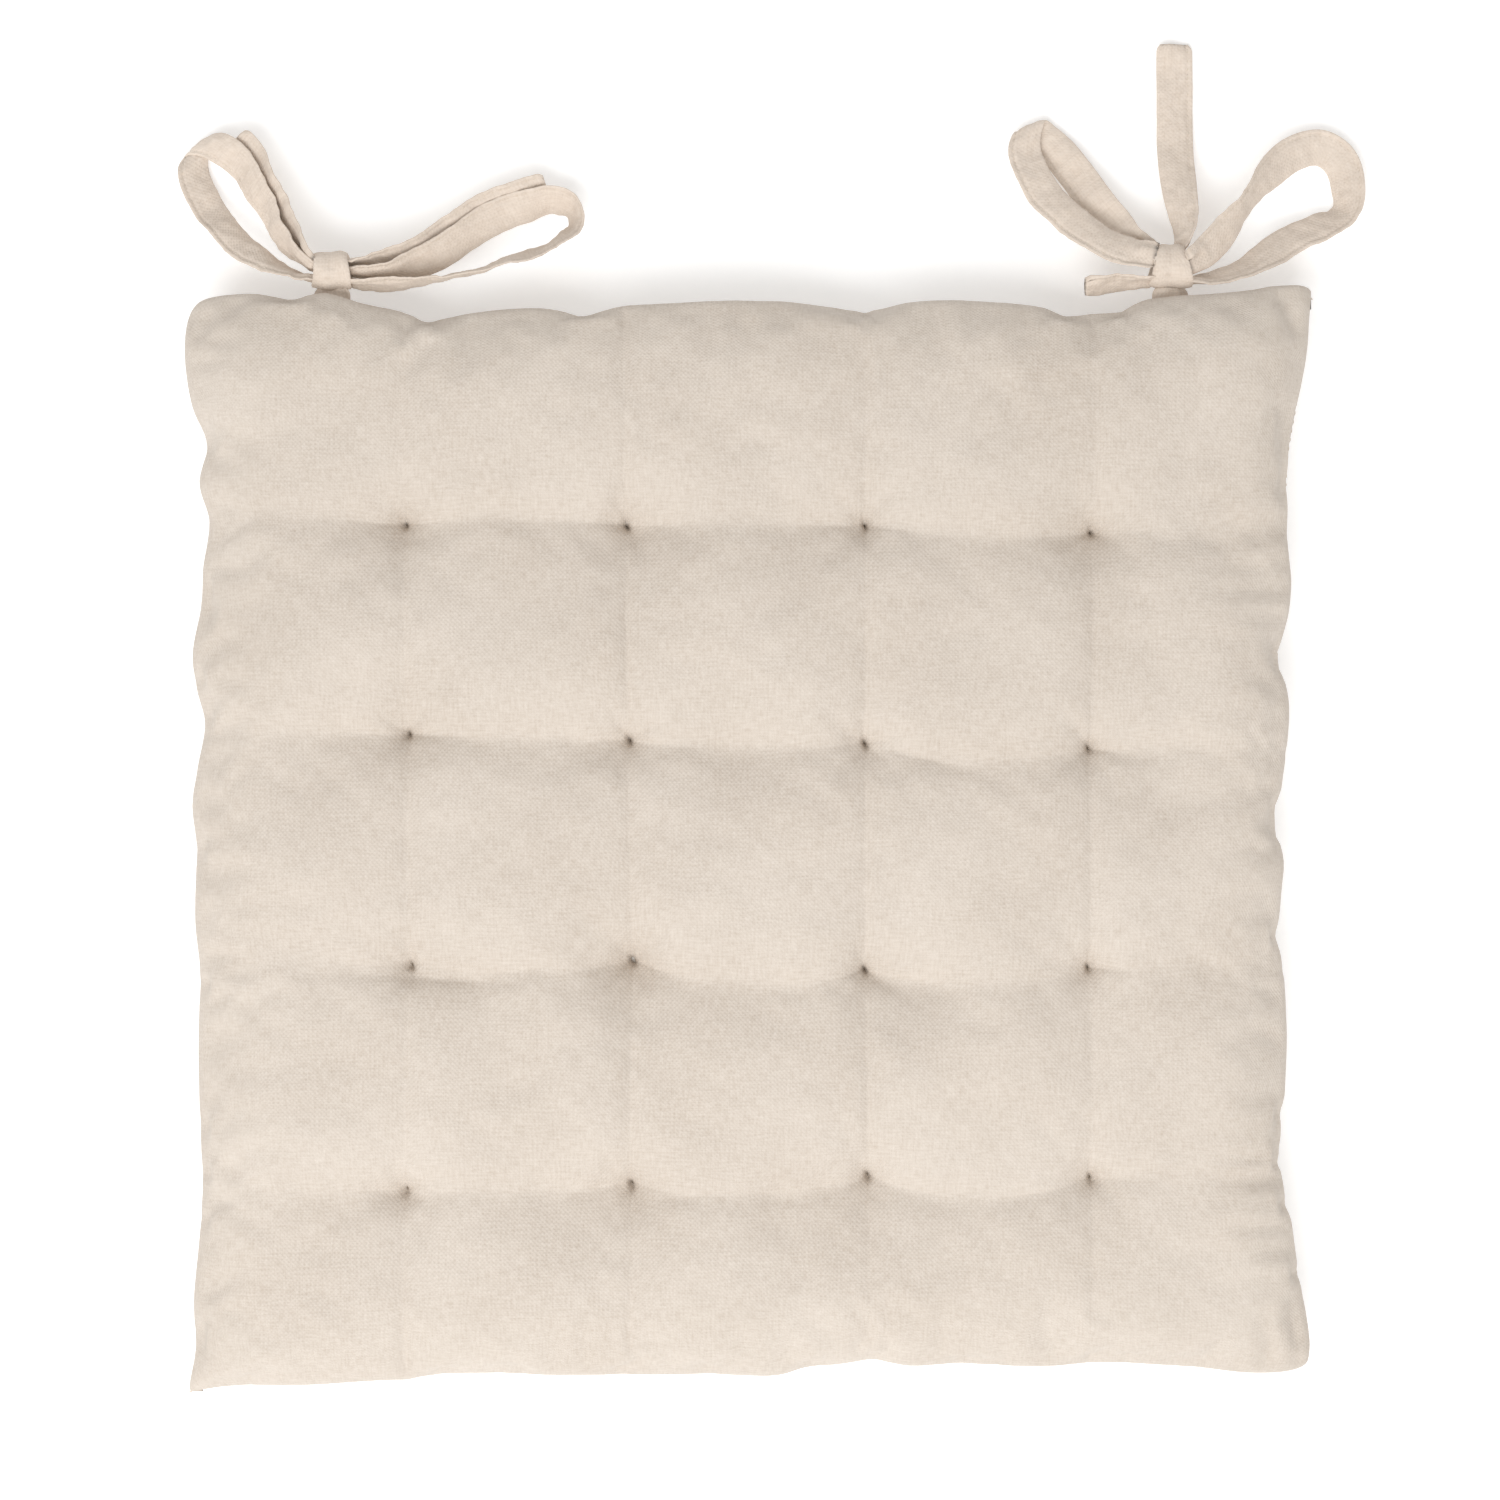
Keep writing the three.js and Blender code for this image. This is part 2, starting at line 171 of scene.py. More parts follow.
def make_cloth(name, base, dark, light, relief):
    """Woven cloth: streaks along both thread directions, the weave's bumps, slubs and soft clouds."""
    material = bpy.data.materials.new(name)
    material.use_nodes = True
    tree = material.node_tree
    shader = tree.nodes["Principled BSDF"]
    shader.inputs["Roughness"].default_value = 0.92
    shader.inputs["Specular IOR Level"].default_value = 0.25
    shader.inputs["Sheen Weight"].default_value = 0.12
    shader.inputs["Sheen Roughness"].default_value = 0.6
    place = add_node(tree, "ShaderNodeUVMap", uv_map="cloth").outputs["UV"]

    def streaks(along, seed):
        """Noise drawn out along one thread direction: uneven threads lying side by side."""
        long, across = 1 / SLUB_LENGTH, 1 / THREAD_PITCH
        scale = (long, across, 1) if along == "x" else (across, long, 1)
        turned = add_node(
            tree, "ShaderNodeMapping", [(place, "Vector")], Scale=scale, Location=(seed, seed, 0)
        )
        return add_node(
            tree,
            "ShaderNodeTexNoise",
            [(turned.outputs["Vector"], "Vector")],
            Scale=1.0,
            Detail=2.0,
            Roughness=0.6,
        ).outputs["Fac"]

    def waved(axis):
        """A sine along one direction, one turn for two threads."""
        split = add_node(tree, "ShaderNodeSeparateXYZ", [(place, "Vector")])
        turns = add_node(tree, "ShaderNodeMath", [(split.outputs[axis], 0)], operation="MULTIPLY")
        turns.inputs[1].default_value = np.pi / THREAD_PITCH
        return add_node(tree, "ShaderNodeMath", [(turns.outputs[0], 0)], operation="SINE").outputs[0]

    def combined(operation, one, other):
        links = [(one, 0), (other, 1)] if not isinstance(other, float) else [(one, 0)]
        node = add_node(tree, "ShaderNodeMath", links, operation=operation)
        if isinstance(other, float):
            node.inputs[1].default_value = other
        return node.outputs[0]

    warp, weft = streaks("y", 3.1), streaks("x", 7.7)
    threads = combined("MULTIPLY", combined("ADD", warp, weft), 0.5)
    over_under = combined("MULTIPLY", waved("X"), waved("Y"))
    clouds = add_node(
        tree, "ShaderNodeTexNoise", [(place, "Vector")], Scale=1 / CLOUD_SIZE, Detail=3.0
    ).outputs["Fac"]
    shade = combined("ADD", combined("MULTIPLY", threads, 0.75), combined("MULTIPLY", clouds, 0.25))
    ramp = add_node(tree, "ShaderNodeValToRGB", [(shade, "Fac")])
    ramp.color_ramp.elements[0].position = 0.3
    ramp.color_ramp.elements[0].color = linear(dark)
    ramp.color_ramp.elements[1].position = 0.7
    ramp.color_ramp.elements[1].color = linear(light)
    middle = ramp.color_ramp.elements.new(0.5)
    middle.color = linear(base)
    tree.links.new(ramp.outputs["Color"], shader.inputs["Base Color"])
    height = combined("ADD", combined("MULTIPLY", over_under, 0.22), threads)
    bump = add_node(
        tree, "ShaderNodeBump", [(height, "Height")], Strength=relief, Distance=0.5 * MM
    )
    tree.links.new(bump.outputs["Normal"], shader.inputs["Normal"])
    return material


cover_cloth = make_cloth("undyed_linen_cotton_plain_weave", "#CDC3B8", "#BEB2A5", "#D8CFC5", 0.5)
ribbon_cloth = make_cloth("linen_cotton_folded_ribbon", "#DACDC0", "#CBBCAD", "#E4D8CC", 0.45)
print("cloth drawn at", THREAD_PITCH / MM, "mm a thread")


# %% Thread and filling
def make_yarn(name, colour, shadow, pitch):
    """Twisted yarn: slanting bands of light and shadow from one ply to the next."""
    material = bpy.data.materials.new(name)
    material.use_nodes = True
    tree = material.node_tree
    shader = tree.nodes["Principled BSDF"]
    shader.inputs["Roughness"].default_value = 0.75
    shader.inputs["Sheen Weight"].default_value = 0.1
    place = add_node(tree, "ShaderNodeUVMap", uv_map="cloth").outputs["UV"]
    wave = add_node(
        tree,
        "ShaderNodeTexWave",
        [(place, "Vector")],
        bands_direction="DIAGONAL",
        Scale=0.5 / pitch / 3.14,
        Distortion=0.4,
    )
    ramp = add_node(tree, "ShaderNodeValToRGB", [(wave.outputs["Fac"], "Fac")])
    ramp.color_ramp.elements[0].color = linear(shadow)
    ramp.color_ramp.elements[1].color = linear(colour)
    tree.links.new(ramp.outputs["Color"], shader.inputs["Base Color"])
    bump = add_node(
        tree, "ShaderNodeBump", [(wave.outputs["Fac"], "Height")], Strength=0.4, Distance=0.15 * MM
    )
    tree.links.new(bump.outputs["Normal"], shader.inputs["Normal"])
    return material


sewing_thread = make_yarn("polyester_sewing_thread_twisted", "#E9E0D3", "#CFC2B2", 0.6 * MM)
tufting_twine = make_yarn("waxed_cotton_twine_twisted", "#B5A693", "#8A7C6B", 1.0 * MM)


def make_fibre():
    """Carded polyester fibre: a white tangle, rough at every scale."""
    material = bpy.data.materials.new("carded_polyester_fibre")
    material.use_nodes = True
    tree = material.node_tree
    shader = tree.nodes["Principled BSDF"]
    shader.inputs["Roughness"].default_value = 0.95
    place = add_node(tree, "ShaderNodeTexCoord").outputs["Object"]
    tangle = add_node(
        tree, "ShaderNodeTexNoise", [(place, "Vector")], Scale=400.0, Detail=6.0, Distortion=1.5
    ).outputs["Fac"]
    ramp = add_node(tree, "ShaderNodeValToRGB", [(tangle, "Fac")])
    ramp.color_ramp.elements[0].color = linear("#DDDCD8")
    ramp.color_ramp.elements[1].color = linear("#F6F5F2")
    tree.links.new(ramp.outputs["Color"], shader.inputs["Base Color"])
    bump = add_node(tree, "ShaderNodeBump", [(tangle, "Height")], Strength=0.8, Distance=1 * MM)
    tree.links.new(bump.outputs["Normal"], shader.inputs["Normal"])
    return material


fibre = make_fibre()

# %% [markdown]
# ## Ribbons
# Each ribbon is a strip of the cover's cloth, folded to a flat tube 13 mm wide and
# stitched close to one edge. A ribbon is stiff in its own plane and limp across it, so
# it stands on edge near the knot and turns flat where it lies. Its route is a short
# list of stations: the place of the strip's middle, the height of its lower edge above
# the floor, and the heading and rise of the line across it. A smooth curve through
# the stations carries a cross-section along.

# %% Routes of the ribbons
RIBBON_WIDTH = 13 * MM
RIBBON_THICKNESS = 1.6 * MM
RIBBON_STATIONS = {
    "left_bow_left_loop": [
        (-0.1560, 0.1982, 0.0150, 90, -84), (-0.1614, 0.1992, 0.0148, 84, -76),
        (-0.1704, 0.2030, 0.0144, 72, -60), (-0.1794, 0.2084, 0.0124, 60, -44),
        (-0.1876, 0.2160, 0.0088, 50, -38), (-0.1946, 0.2250, 0.0040, 38, -34),
        (-0.1996, 0.2344, 0.0020, 30, -30), (-0.2010, 0.2424, 0.0014, 32, -18),
        (-0.1984, 0.2480, 0.0026, 34, 4), (-0.1926, 0.2476, 0.0052, 38, 20),
        (-0.1860, 0.2434, 0.0060, 44, 32), (-0.1792, 0.2352, 0.0066, 48, 40),
        (-0.1738, 0.2256, 0.0076, 44, 46), (-0.1692, 0.2162, 0.0094, 46, 54),
        (-0.1630, 0.2082, 0.0120, 62, 70), (-0.1560, 0.2024, 0.0150, 84, 84),
    ],
    "left_bow_right_loop": [
        (-0.1414, 0.2004, 0.0150, 90, 84), (-0.1330, 0.2000, 0.0148, 96, 70),
        (-0.1220, 0.2022, 0.0136, 112, 50), (-0.1110, 0.2080, 0.0110, 124, 38),
        (-0.1024, 0.2146, 0.0080, 126, 34), (-0.0930, 0.2208, 0.0060, 122, 34),
        (-0.0820, 0.2256, 0.0040, 112, 36), (-0.0720, 0.2280, 0.0024, 92, 46),
        (-0.0642, 0.2254, 0.0024, 44, 58), (-0.0632, 0.2174, 0.0054, -10, 62),
        (-0.0696, 0.2114, 0.0096, -54, 66), (-0.0800, 0.2068, 0.0124, -66, 72),
        (-0.0920, 0.2026, 0.0134, -72, 76), (-0.1050, 0.1994, 0.0126, -76, 84),
        (-0.1180, 0.1970, 0.0138, -80, 98), (-0.1300, 0.1958, 0.0148, -86, 106),
        (-0.1414, 0.1964, 0.0152, -90, 96),
    ],
    "left_bow_left_tail": [
        (-0.1560, 0.2054, 0.0152, 84, 84), (-0.1602, 0.2106, 0.0126, 60, 70),
        (-0.1654, 0.2182, 0.0098, 46, 54), (-0.1700, 0.2272, 0.0080, 44, 46),
        (-0.1752, 0.2366, 0.0070, 46, 40), (-0.1806, 0.2450, 0.0054, 44, 34),
        (-0.1846, 0.2496, 0.0046, 42, 30),
    ],
    "left_bow_right_tail": [
        (-0.1414, 0.2034, 0.0152, 92, 80), (-0.1334, 0.2038, 0.0142, 98, 62),
        (-0.1236, 0.2062, 0.0126, 112, 46), (-0.1132, 0.2116, 0.0102, 124, 38),
        (-0.1048, 0.2180, 0.0080, 126, 36), (-0.0952, 0.2244, 0.0060, 122, 36),
        (-0.0838, 0.2296, 0.0044, 114, 38), (-0.0734, 0.2324, 0.0030, 106, 40),
    ],
    "right_bow_left_loop": [
        (0.1414, 0.2058, 0.0242, 76, -20), (0.1340, 0.2072, 0.0208, 66, -24),
        (0.1250, 0.2116, 0.0164, 54, -24), (0.1152, 0.2192, 0.0124, 46, -20),
        (0.1064, 0.2280, 0.0090, 36, -16), (0.1006, 0.2380, 0.0066, 24, -14),
        (0.0982, 0.2474, 0.0050, 22, -8), (0.1004, 0.2544, 0.0034, 22, -2),
        (0.1040, 0.2524, 0.0012, 24, 4), (0.1104, 0.2464, 0.0012, 30, 8),
        (0.1168, 0.2380, 0.0026, 34, 12), (0.1230, 0.2288, 0.0050, 36, 18),
        (0.1294, 0.2200, 0.0070, 40, 26), (0.1358, 0.2126, 0.0096, 52, 36),
        (0.1414, 0.2084, 0.0114, 64, 36),
    ],
    "right_bow_right_loop": [
        (0.1560, 0.2036, 0.0214, 106, 40), (0.1624, 0.2084, 0.0184, 122, 30),
        (0.1704, 0.2174, 0.0136, 136, 40), (0.1786, 0.2286, 0.0088, 142, 62),
        (0.1860, 0.2374, 0.0066, 126, 30), (0.1948, 0.2448, 0.0038, 108, 14),
        (0.2046, 0.2474, 0.0020, 80, 12), (0.2122, 0.2426, 0.0012, 40, 16),
        (0.2150, 0.2330, 0.0010, 6, 30), (0.2134, 0.2238, 0.0012, -36, 46),
        (0.2048, 0.2182, 0.0050, -64, 38), (0.1944, 0.2136, 0.0084, -64, 30),
        (0.1846, 0.2076, 0.0126, -60, 38), (0.1750, 0.2016, 0.0149, -62, 50),
        (0.1654, 0.1984, 0.0146, -72, 58), (0.1560, 0.1972, 0.0150, -90, 84),
    ],
    "right_bow_long_tail": [
        (0.1512, 0.2074, 0.0144, 14, 52), (0.1540, 0.2130, 0.0136, 4, 60),
        (0.1542, 0.2210, 0.0114, 0, 44), (0.1534, 0.2310, 0.0086, 0, 20),
        (0.1528, 0.2440, 0.0036, 0, 4), (0.1528, 0.2580, 0.0010, 0, 0),
        (0.1528, 0.2720, 0.0008, 0, 0), (0.1526, 0.2850, 0.0008, 0, 0),
    ],
    "right_bow_short_tail": [
        (0.1414, 0.1970, 0.0161, 90, 76), (0.1340, 0.1964, 0.0161, 90, 70),
        (0.1260, 0.1960, 0.0163, 94, 66), (0.1184, 0.1954, 0.0164, 100, 62),
    ],
}


# %% A strip along its stations
def through(stations, steps):
    """A Catmull-Rom curve through the stations: each point mixes its four nearest ones."""
    p = np.array(stations, float)
    p = np.vstack([2 * p[0] - p[1], p, 2 * p[-1] - p[-2]])
    t = np.linspace(0, 1, steps, endpoint=False)[None, :, None]
    a, b, c, d = (p[i : len(p) - 3 + i, None, :] for i in range(4))
    curve = 0.5 * (
        2 * b + (c - a) * t + (2 * a - 5 * b + 4 * c - d) * t**2 + (3 * b - a - 3 * c + d) * t**3
    )
    return np.vstack([curve.reshape(-1, p.shape[1]), p[-2]])


class Strip:
    """A ribbon's middle line with the directions along, across and out of its face at each step."""

    def __init__(self, stations, width=RIBBON_WIDTH, thickness=RIBBON_THICKNESS, steps=10):
        rows = through(stations, steps)
        heading, lean = np.radians(rows[:, 3]), np.radians(rows[:, 4])
        self.across = np.stack(
            [np.cos(heading) * np.cos(lean), np.sin(heading) * np.cos(lean), np.sin(lean)], axis=1
        )
        self.middle = rows[:, :3].copy()
        self.middle[:, 2] += (
            np.abs(self.across[:, 2]) * width / 2
            + np.hypot(self.across[:, 0], self.across[:, 1]) * thickness / 2
        )
        self.along = unit(np.gradient(self.middle, axis=0))
        self.out = unit(np.cross(self.along, self.across))
        steps_long = np.linalg.norm(np.diff(self.middle, axis=0), axis=1)
        self.distance = np.concatenate([[0], np.cumsum(steps_long)])
        self.length = float(self.distance[-1])

    def at(self, distance):
        """Middle, across and out at any distances along, between the steps."""
        return [
            np.stack([np.interp(distance, self.distance, v[:, i]) for i in range(3)], axis=-1)
            for v in (self.middle, self.across, self.out)
        ]


strips = {name: Strip(stations) for name, stations in RIBBON_STATIONS.items()}
for name, strip in strips.items():
    print(name, "length", round(strip.length / MM, 1), "mm")

# %% [markdown]
# ## The ribbon's cross-section
# The flat tube is thickest in its middle, round at its fold, and pressed thin along
# the line of stitches. Near the knot the cloth is gathered: the strip narrows a little
# and buckles into soft pleats. The stitches pull the edge into small puckers.

# %% Ribbon surface
STITCH_PLACE = 0.72  # how far out the stitch line lies, as a share of the half width
STITCH_LENGTH = 3.0 * MM
GATHER_REACH = 15 * MM  # how far from the knot the gathering fades out
GATHERED_WIDTH = 0.88  # share of the full width that is left at the knot
INTO_KNOT = 2.2 * MM  # how far a ribbon runs on inside the wrap
FACE_POINTS = 26  # points across one face
GROOVE_WIDTH = 0.09  # of the stitched groove, as a share of the half width
GROOVE_DEPTH = 0.8  # share of the thickness that the stitches press away
PLEAT_HEIGHT = 0.6 * MM
SWAY = 0.38 * MM  # long soft waves of the ribbon's face
CRUMPLE = 0.13 * MM  # small creases
PUCKER = 0.10 * MM  # the stitches' pull on the edge
ROUNDED_END = 2.5 * MM
OPEN_LENGTH = 9 * MM  # how far from its end an open tube gapes
OPEN_RINGS = 7  # how many steps the dark inside of an open end goes back


def ribbon_form(strip, stitch_side, at_knot, seed):
    """Half width, and lift of the middle surface and half thickness over (distance, across)."""
    share = -np.cos(np.linspace(0, np.pi, FACE_POINTS))[None, :]
    far = np.full(len(strip.distance), 1.0)
    if "start" in at_knot:
        far = np.minimum(far, strip.distance / GATHER_REACH)
    if "end" in at_knot:
        far = np.minimum(far, (strip.length - strip.distance) / GATHER_REACH)
    loose = smooth(far)[:, None]
    half_width = RIBBON_WIDTH / 2 * (GATHERED_WIDTH + (1 - GATHERED_WIDTH) * loose)
    if "end" not in at_knot:
        to_end = np.clip((strip.length - strip.distance) / ROUNDED_END, 0, 1)[:, None]
        half_width = half_width * (1 - 0.22 * (1 - to_end) ** 2)
    stitched = np.exp(-(((share - stitch_side * STITCH_PLACE) / GROOVE_WIDTH) ** 2))
    thin = RIBBON_THICKNESS / 2 * np.sqrt(1 - share**4) * (1 - GROOVE_DEPTH * stitched)
    thin = thin * (0.95 + 0.3 * np.exp(-(((share + stitch_side * 0.4) / 0.5) ** 2)))
    along = strip.distance[:, None]
    pleat = (1 - loose) * PLEAT_HEIGHT * np.cos(1.6 * np.pi * share + seed)
    sway = SWAY * waves(along, share * 6 * MM, 17 * MM, seed) * loose
    crumple = CRUMPLE * waves(along, share * 6 * MM, 5 * MM, seed + 50)
    pucker = PUCKER * np.cos(2 * np.pi * along / STITCH_LENGTH) * np.exp(
        -(((share - stitch_side * STITCH_PLACE) / 0.35) ** 2)
    )
    return share, half_width, pleat + sway + crumple + pucker, np.broadcast_to(thin, pleat.shape)


def make_ribbon(name, strip, stitch_side, at_knot, seed, open_end=False):
    """Carries the flat tube along the strip: up over one face, back under the other, ends closed."""
    share, half_width, lift, thin = ribbon_form(strip, stitch_side, at_knot, seed)
    if open_end:
        gape = smooth(1 - (strip.length - strip.distance) / OPEN_LENGTH)[:, None]
        thin = thin * (1 + 1.2 * gape)
    sides = np.concatenate([share, share[:, -2::-1]], axis=1)
    lifts = np.concatenate([lift + thin, (lift - thin)[:, -2::-1]], axis=1)
    middle, across, out = (v[:, None, :] for v in (strip.middle, strip.across, strip.out))
    rings = middle + across * (sides * half_width)[..., None] + out * lifts[..., None]
    mid_rings = middle + across * (sides * half_width * 0.9)[..., None] + out * (
        np.concatenate([lift, lift[:, -2::-1]], axis=1)[..., None]
    )
    back = OPEN_RINGS if open_end else 0
    hidden = [INTO_KNOT * (word in at_knot) * strip.along[k] for word, k in (("start", 0), ("end", -1))]
    end = mid_rings[-1 - back] + hidden[1]
    collapse = np.broadcast_to(strip.middle[-1 - back] + hidden[1], end.shape)
    start = np.broadcast_to(strip.middle[0] - hidden[0], rings[0].shape)
    grid = np.concatenate([start[None], mid_rings[:1] - hidden[0], rings, end[None], collapse[None]])
    distance = np.concatenate([[0, 0], strip.distance, [strip.length, strip.length]])
    around = np.concatenate([[0], np.cumsum(np.linalg.norm(np.diff(rings[0], axis=0), axis=1))])
    flat = np.stack(np.broadcast_arrays(distance[:, None], around[None, :]), axis=-1)
    faces = quads(*grid.shape[:2])[:, ::-1]
    return make_piece(name, grid.reshape(-1, 3), flat.reshape(-1, 2), faces, ribbon_cloth)


THREAD_RADIUS = 0.2 * MM  # drawn a little thicker than the real 0.15 mm
STITCH_RINGS = 5
STITCH_SIDES = 6


def make_stitches(name, middle, along, across, out, length, radius, material):
    """Short capsules of thread: each ring's radius follows a half circle, and its middle dips at the ends."""
    q = np.linspace(-1, 1, STITCH_RINGS)[None, :, None, None]
    angle = np.linspace(0, 2 * np.pi, STITCH_SIDES + 1)[None, None, :, None]
    spread = radius * np.sqrt(np.maximum(1 - q**4, 0))
    m, a, c, o = (v[:, None, None, :] for v in (middle, along, across, out))
    grid = m + a * q * length / 2 - o * radius * 0.9 * q**2
    grid = grid + spread * (c * np.cos(angle) + o * np.sin(angle))
    count = len(middle)
    faces = quads(STITCH_RINGS, STITCH_SIDES + 1)[None]
    shift = np.arange(count)[:, None, None] * STITCH_RINGS * (STITCH_SIDES + 1)
    flat = np.stack(
        np.broadcast_arrays(q[..., 0] * length / 2 + 0 * angle[..., 0], angle[..., 0] * radius), -1
    )
    flat = np.broadcast_to(flat, (count, *flat.shape[1:]))
    return make_piece(
        name, grid.reshape(-1, 3), flat.reshape(-1, 2), (faces + shift).reshape(-1, 4), material
    )


def make_topstitch(name, strip, stitch_side, at_knot, seed):
    """One row of stitches on each face of a ribbon, along its stitch line."""
    share, half_width, lift, thin = ribbon_form(strip, stitch_side, at_knot, seed)
    column = int(np.argmin(np.abs(share[0] - stitch_side * STITCH_PLACE)))
    begin = GATHER_REACH * 0.4 if "start" in at_knot else 0
    finish = strip.length - (GATHER_REACH * 0.4 if "end" in at_knot else 0)
    place = np.arange(begin + STITCH_LENGTH / 2, finish - STITCH_LENGTH / 2, STITCH_LENGTH)
    middle, across, out = strip.at(place)
    side = np.interp(place, strip.distance, share[0, column] * half_width[:, 0])[:, None]
    height = np.interp(place, strip.distance, lift[:, column])[:, None]
    depth = np.interp(place, strip.distance, thin[:, column])[:, None]
    ahead = strip.at(place + 1e-4)[0] - strip.at(place - 1e-4)[0]
    top = middle + across * side + out * (height + depth)
    under = middle + across * side + out * (height - depth)
    return make_stitches(
        name,
        np.vstack([top, under]),
        np.vstack([unit(ahead)] * 2),
        np.vstack([unit(across)] * 2),
        np.vstack([unit(out), -unit(out)]),
        STITCH_LENGTH * 0.74,
        THREAD_RADIUS,
        sewing_thread,
    )


RIBBONS = {
    "left_bow_left_loop": (-1, "start end", 11),
    "left_bow_right_loop": (1, "start end", 12),
    "left_bow_left_tail": (-1, "start", 13),
    "left_bow_right_tail": (1, "start", 14),
    "right_bow_left_loop": (-1, "start end", 15),
    "right_bow_right_loop": (1, "start end", 16),
    "right_bow_long_tail": (1, "start", 17),
    "right_bow_short_tail": (1, "start", 18),
}
ribbons, topstitches = {}, {}
for name, (stitch_side, at_knot, seed) in RIBBONS.items():
    body = name.split("_")[0] + "_tie"
    open_end = name == "right_bow_short_tail"
    ribbon = make_ribbon(name + "_ribbon", strips[name], stitch_side, at_knot, seed, open_end)
    topstitch = make_topstitch(name + "_topstitch", strips[name], stitch_side, at_knot, seed)
    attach(ribbon, body)
    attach(topstitch, body)
    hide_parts(name)
    ribbons[name], topstitches[name] = ribbon, topstitch
    print(name, len(ribbon.data.polygons), "faces", len(topstitch.data.polygons), "in its stitches")

SHORT_TAILS = {
    "left_bow_left_loop": "left_bow_left_tail",
    "left_bow_right_loop": "left_bow_right_tail",
    "right_bow_long_tail": "right_bow_short_tail",
}
for name, strip in strips.items():
    if name in SHORT_TAILS.values():
        continue
    pieces = [topstitches[name]]
    if name in SHORT_TAILS:
        pieces += [ribbons[SHORT_TAILS[name]], topstitches[SHORT_TAILS[name]]]

# %% [markdown]
# ## The pad's outline and quilting lines
# The pad was cut square, but stuffing pulls its sides in between the corners, and each
# row of tufts pulls a notch into them. Its surface is worked out on a grid whose lines
# run along the creases: the first parameter counts cells from left to right, the
# second from front to back, and every whole number is a line of tufts. The tufts'
# places come from the frame.

# %% Outline and lines
ROWS = COLUMNS = 4
CELLS = 5
TUFTS = [
    [np.mean(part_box(f"tuft_thread_row{r + 1}_column{c + 1}"), axis=0)[:2] for c in range(COLUMNS)]
    for r in range(ROWS)
]
tufts = np.array(TUFTS)
ROW_SAG = np.array([[1.5, 5.0, 7.0], [3.5, 7.0, 6.0], [1.0, 3.0, 5.5], [-1.2, 0.6, 3.6]]) * MM
ROW_ENDS = np.array([[-1.0, 2.5], [0.5, -1.5], [-0.5, -1.5], [2.5, -1.0]]) * MM

# Each side of the outline: (place along the side, how far out), in millimetres.
LEFT = [(-201, 200.9), (-192, 200.4), (-178, 197.2), (-160, 197.4), (-140, 195.6), (-121, 194.3),
        (-100, 195.2), (-74, 195.8), (-48, 195.3), (-30, 196.9), (-6, 196.6), (9, 197.9), (22, 196),
        (37, 193.6), (50, 196.6), (62, 198), (78, 195.3), (92, 194.2), (108, 192), (122, 195.4),
        (136, 192.8), (150, 197.8), (165, 200.3), (180, 200.7), (194, 198.6)]
RIGHT = [(-191, 199.9), (-180, 198.6), (-160, 195), (-140, 191.8), (-120, 187.9), (-104, 188.6),
         (-76, 189.8), (-50, 189.3), (-33, 187.2), (-19, 187.8), (-5, 188.9), (9, 186.4),
         (23, 188.4), (38, 190.3), (52, 190.6), (66, 187.8), (80, 190.2), (94, 191.6), (108, 190.4),
         (122, 190.8), (137, 191.8), (151, 194.4), (165, 196.8), (180, 198.4), (196, 201.3)]
FRONT = [(-201, 200.2), (-192, 196.9), (-180, 194.9), (-157, 194.3), (-128, 192.2), (-100, 190.2),
         (-71, 190.8), (-43, 190.9), (-15, 190.7), (6, 191), (18, 188.4), (30, 187), (42, 185.6),
         (56, 187.7), (71, 187), (99, 187.7), (128, 186.6), (156, 188.2), (175, 190.2), (198, 190.6)]
BACK = [(-199, 193.4), (-191, 193.8), (-176, 193.8), (-161, 193), (-155, 193.4), (-148, 193.4),
        (-138, 190.3), (-131, 188.8), (-124, 187.4), (-113, 184.6), (-101, 185.7), (-88, 187.4),
        (-74, 188.2), (-59, 186.9), (-43, 188.6), (-29, 189), (0, 189.8), (14, 189.9), (28, 189),
        (42, 188.3), (56, 190), (76, 190.4), (100, 188.7), (111, 186.9), (119, 187.1), (126, 187.9),
        (132, 189.2), (141, 192), (163, 193.4), (172, 194.4), (182, 196), (193, 197.7), (200, 196.8)]


def side(stations, place):
    """How far out a side lies at places along it: a smooth curve through its stations."""
    fine = through([(a * MM, b * MM) for a, b in stations], 12)
    return np.interp(place, fine[:, 0], fine[:, 1])


def lines_across(t):
    """Where the six lines from front to back stand, left to right, at each t: shape (len(t), 6)."""
    y = np.interp(t, np.arange(6), [-0.195, *tufts[:, 1:3, 1].mean(axis=1), 0.193])
    knots = np.arange(1, 5)
    inner = [np.interp(t, knots, tufts[:, c, 0]) for c in range(COLUMNS)]
    return np.stack([-side(LEFT, y), *inner, side(RIGHT, y)], axis=-1)


def lines_along(s):
    """Where the six lines from left to right stand, front to back, at each s: shape (len(s), 6)."""
    x = np.interp(s, np.arange(6), [-0.1985, *tufts[:, :, 0].mean(axis=0), 0.1985])
    share = s - np.floor(s)
    hang = 4 * share * (1 - share)
    inner = []
    for r in range(ROWS):
        row = np.concatenate([[tufts[r, 0, 1] + ROW_ENDS[r, 0]], tufts[r, :, 1]])
        row = np.concatenate([row, [tufts[r, -1, 1] + ROW_ENDS[r, 1]]])
        sag = np.concatenate([[0], ROW_SAG[r], [0, 0]])[np.floor(s).astype(int)]
        inner.append(np.interp(s, np.arange(6), row) - sag * hang)
    return np.stack([-side(FRONT, x), *inner, side(BACK, x)], axis=-1)


def between(lines, share):
    """Place at a share (0 to 5) between six lines, with lines (n, 6) and share (m,): shape (n, m)."""
    k = np.minimum(np.floor(share).astype(int), CELLS - 1)
    f = share - k
    return lines[:, k] * (1 - f) + lines[:, k + 1] * f


